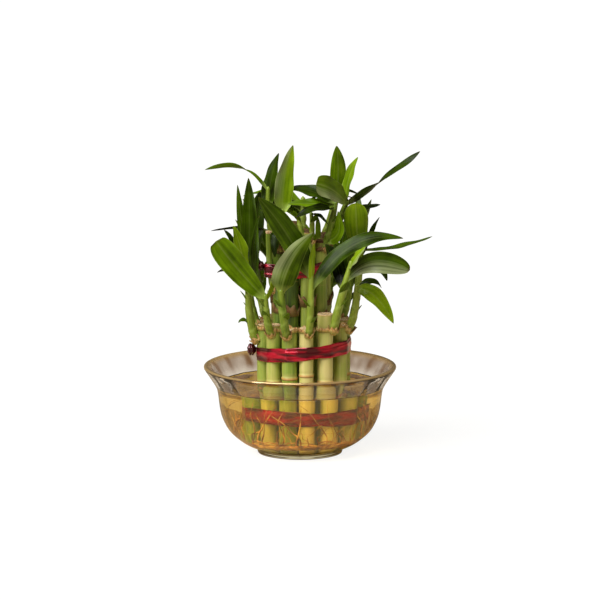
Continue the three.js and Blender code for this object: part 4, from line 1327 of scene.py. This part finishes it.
def colour_property(name, description, hex_value):
    """A colour that the user can change, with its default as an sRGB hex value."""
    return FloatVectorProperty(
        name=name, description=description, subtype="COLOR", size=3, min=0, max=1, default=linear(hex_value)
    )


class BambooBowl(bpy.types.PropertyGroup):
    """Looks of the glass bowl."""

    tint: colour_property("Tint", "Colour that the wall gives what is seen through it", "#f4ead8")
    # Painted reflection: colour of the dim brown room that the flare seems to mirror, painted into the glass
    painted_reflection: colour_property("Smoke", "Colour of the darker lustre on the flare", "#78583c")
    rim: colour_property("Rim", "Colour of the band under the lip", "#a8844e")
    foot: colour_property("Foot", "Colour of the thick foot", "#a89a6a")
    # Worn gold on the lip, which is also a painted highlight along the lip's front
    lustre_and_painted_light: colour_property("Lustre", "Colour of the worn gold on the lip", "#dab87c")
    roughness: FloatProperty(name="Roughness", description="Haze of the glass", default=0.015, min=0, max=1)


class BambooWater(bpy.types.PropertyGroup):
    """Looks of the water."""

    level: FloatProperty(
        name="Level", description="Height of the water above the table", unit="LENGTH",
        default=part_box("water")[1].z, min=0.03, max=0.055,
    )
    tint: colour_property("Stain", "Colour of the water", "#e9c96c")


class BambooRoots(bpy.types.PropertyGroup):
    """Looks of the roots."""

    climbers: IntProperty(
        name="Climbing strands", description="Strands up the canes", default=64, min=0, max=200
    )
    tangle: IntProperty(name="Tangled strands", description="Strands in the mat", default=90, min=0, max=200)
    dark: colour_property("Dark", "Colour of the old roots", "#552c08")
    rust: colour_property("Rust", "Colour of most roots", "#98621c")
    straw: colour_property("Straw", "Colour of the young roots", "#d6b058")


class BambooRibbon(bpy.types.PropertyGroup):
    """Looks of the ribbons."""

    width: FloatProperty(
        name="Width", description="Width of the ribbon", unit="LENGTH", default=0.0102, min=0.004, max=0.011
    )
    crinkle: FloatProperty(
        name="Crinkle", description="Height of the creases", unit="LENGTH", default=0.0006, min=0, max=0.001
    )
    colour: colour_property("Foil", "Colour of the lit foil", "#c4042c")
    shaded: colour_property("Creased foil", "Colour of the foil in its creases", "#520010")
    # Dark foil: painted shade on the knot, and the darker colour that the lower ribbon takes in part
    dark_foil: colour_property("Dull foil", "Colour of the folded foil in the knot", "#350508")


class BambooPlant(bpy.types.PropertyGroup):
    """Looks of the canes and leaves."""

    wave: FloatProperty(
        name="Wave", description="Wave of the leaf edges, as a share of half the leaf's width",
        default=0.12, min=0, max=0.3,
    )
    leaf_shaded: colour_property("Leaf, darkest", "Colour of the darkest leaves", "#0d1500")
    leaf_deep: colour_property("Leaf, deep", "Colour of most leaves", "#384f03")
    leaf_fresh: colour_property("Leaf, fresh", "Colour of the fresher leaves", "#5e7c06")
    leaf_young: colour_property("Leaf, young", "Colour of the youngest leaves", "#86a216")
    # Colour of the painted sheen, a pale grey-green highlight painted on some leaves
    painted_sheen: colour_property("Bloom", "Colour of the wax bloom on some leaves", "#979f74")
    sheath: colour_property("Sheath", "Colour of the leaves' feet, ribs and edges", "#a8ba5e")
    stem_deep: colour_property("Stem, deep", "Colour of the older shoots", "#5a7612")
    stem_fresh: colour_property("Stem, fresh", "Colour of the younger shoots", "#99ac3a")
    # Painted shade: the colour that darkens canes standing in shade deep in the bundle
    cane_painted_shade: colour_property("Cane, deep", "Colour of the darkest canes", "#364a10")
    cane_green: colour_property("Cane, green", "Colour of the green canes", "#6d8a26")
    cane_light: colour_property("Cane, light", "Colour of most canes", "#a3ad4b")
    cane_straw: colour_property("Cane, straw", "Colour of the palest canes", "#d0c47c")
    scar: colour_property("Scar", "Colour of the node scars and dry sheaths", "#c09052")
    dry_dark: colour_property("Dry, dark", "Colour of dried edges and points", "#4c2c10")
    pith: colour_property("Pith", "Colour of the cut ends", "#f0d6a8")


class BambooStage(bpy.types.PropertyGroup):
    """The floor, the light and the camera."""

    floor: colour_property("Floor", "Colour of the studio floor", "#f8f8f7")
    key: FloatProperty(name="Key light", description="Strength of the soft main light", default=4.2, min=0)
    room: FloatProperty(name="Room light", description="Strength of the light all round", default=0.11, min=0)
    distance: FloatProperty(
        name="Distance", description="Distance from the camera to the plant", unit="LENGTH",
        default=4.0, min=1,
    )
    elevation: FloatProperty(
        name="Elevation", description="How far the camera looks down", subtype="ANGLE",
        default=np.radians(10.2), min=0, max=1.5,
    )
    aim: FloatProperty(
        name="Aim", description="Height that the camera looks at", unit="LENGTH", default=0.1126
    )
    view_width: FloatProperty(
        name="View", description="Width of the picture at the plant", unit="LENGTH", default=0.4362, min=0.01
    )


# Operators


class BAMBOO_OT_bowl(bpy.types.Operator):
    """Build the glass bowl"""

    bl_idname = "bamboo.bowl"
    bl_label = "Glass bowl"

    def execute(self, context):
        look = context.scene.bamboo_bowl
        make_piece("bowl_glass", [bowl_skin()], [glass_material(look)], "bowl")
        return {"FINISHED"}


class BAMBOO_OT_water(bpy.types.Operator):
    """Fill the bowl with water"""

    bl_idname = "bamboo.water"
    bl_label = "Water"

    def execute(self, context):
        look = context.scene.bamboo_water
        body = water_skin(look.level / MM)
        make_piece("water_body", [body], [water_material(look)], "water")
        return {"FINISHED"}


class BAMBOO_OT_roots(bpy.types.Operator):
    """Grow the roots round the foot of the canes"""

    bl_idname = "bamboo.roots"
    bl_label = "Roots"

    def execute(self, context):
        look = context.scene.bamboo_roots
        strands = [mat_skin(), *climbing_roots(look.climbers), *tangled_roots(look.tangle)]
        make_piece("root_strands", strands, [root_material(look)], "roots")
        return {"FINISHED"}


class BAMBOO_OT_ribbons(bpy.types.Operator):
    """Tie the foil ribbons round the canes"""

    bl_idname = "bamboo.ribbons"
    bl_label = "Ribbons"

    def execute(self, context):
        look = context.scene.bamboo_ribbons
        foil = foil_material(look)
        width, crinkle = look.width / MM, look.crinkle / MM
        plants = grow_all()
        for name, (tier, others, height, (*tilt, twist), dark_foil) in RIBBONS.items():
            canes = [(p["foot"], p["head"], p["radius"]) for p in plants if tier in p["name"]]
            canes.extend(others)
            turns = []
            for share, clear, crossing, seed in TURNS:
                slope = (*tilt, twist * crossing)
                turns.append(foil_skin(canes, height, slope, width * share, clear, crinkle, seed, dark_foil))
            if name in KNOTS:
                turns.append(knot_skin(*KNOTS[name]))
            make_piece(f"ribbon_{name}_foil", turns, [foil], f"ribbon_{name}")
        return {"FINISHED"}


class BAMBOO_OT_stalks(bpy.types.Operator):
    """Grow the canes with their shoots and leaves"""

    bl_idname = "bamboo.stalks"
    bl_label = "Stalks"

    def execute(self, context):
        look = context.scene.bamboo_stalks
        made = (cane_material, shoot_material, leaf_material, dry_material, pith_material)
        materials = [make(look) for make in made]
        materials.append(dry_material(look, "old_dry_sheath", aged=0.7))
        for plant in grow_all():
            node = plant["name"]
            make_piece(f"{node}_grown", list(plant_skins(plant, look.wave)), materials, node)
        return {"FINISHED"}


class BAMBOO_OT_stage(bpy.types.Operator):
    """Lay the floor and set the light and the camera"""

    bl_idname = "bamboo.stage"
    bl_label = "Floor, light and camera"

    def execute(self, context):
        look = context.scene.bamboo_stage
        lay_floor(look)
        set_light(context.scene, look)
        set_camera(context.scene, look)
        return {"FINISHED"}


class BAMBOO_PT_panel(bpy.types.Panel):
    """Lists the steps that build the plant, with their settings."""

    bl_label = "Lucky Bamboo"
    bl_space_type = "VIEW_3D"
    bl_region_type = "UI"
    bl_category = "Lucky Bamboo"

    def draw(self, context):
        for step, group in STEPS.items():
            box = self.layout.box()
            box.operator(f"bamboo.{step}")
            for name in group.__annotations__:
                box.prop(getattr(context.scene, f"bamboo_{step}"), name)


STEPS = {
    "bowl": BambooBowl,
    "water": BambooWater,
    "roots": BambooRoots,
    "ribbons": BambooRibbon,
    "stalks": BambooPlant,
    "stage": BambooStage,
}
CLASSES = (
    *STEPS.values(),
    BAMBOO_OT_bowl,
    BAMBOO_OT_water,
    BAMBOO_OT_roots,
    BAMBOO_OT_ribbons,
    BAMBOO_OT_stalks,
    BAMBOO_OT_stage,
    BAMBOO_PT_panel,
)


def register():
    """Adds the classes, and each step's settings to the scene."""
    for made in CLASSES:
        bpy.utils.register_class(made)
    for step, group in STEPS.items():
        setattr(bpy.types.Scene, f"bamboo_{step}", PointerProperty(type=group))


def unregister():
    """Takes the settings and the classes away again."""
    for step in STEPS:
        delattr(bpy.types.Scene, f"bamboo_{step}")
    for made in reversed(CLASSES):
        bpy.utils.unregister_class(made)


def main():
    """Builds everything in order."""
    register()
    for step in STEPS:
        getattr(bpy.ops.bamboo, step)()


if __name__ == "__main__":
    main()
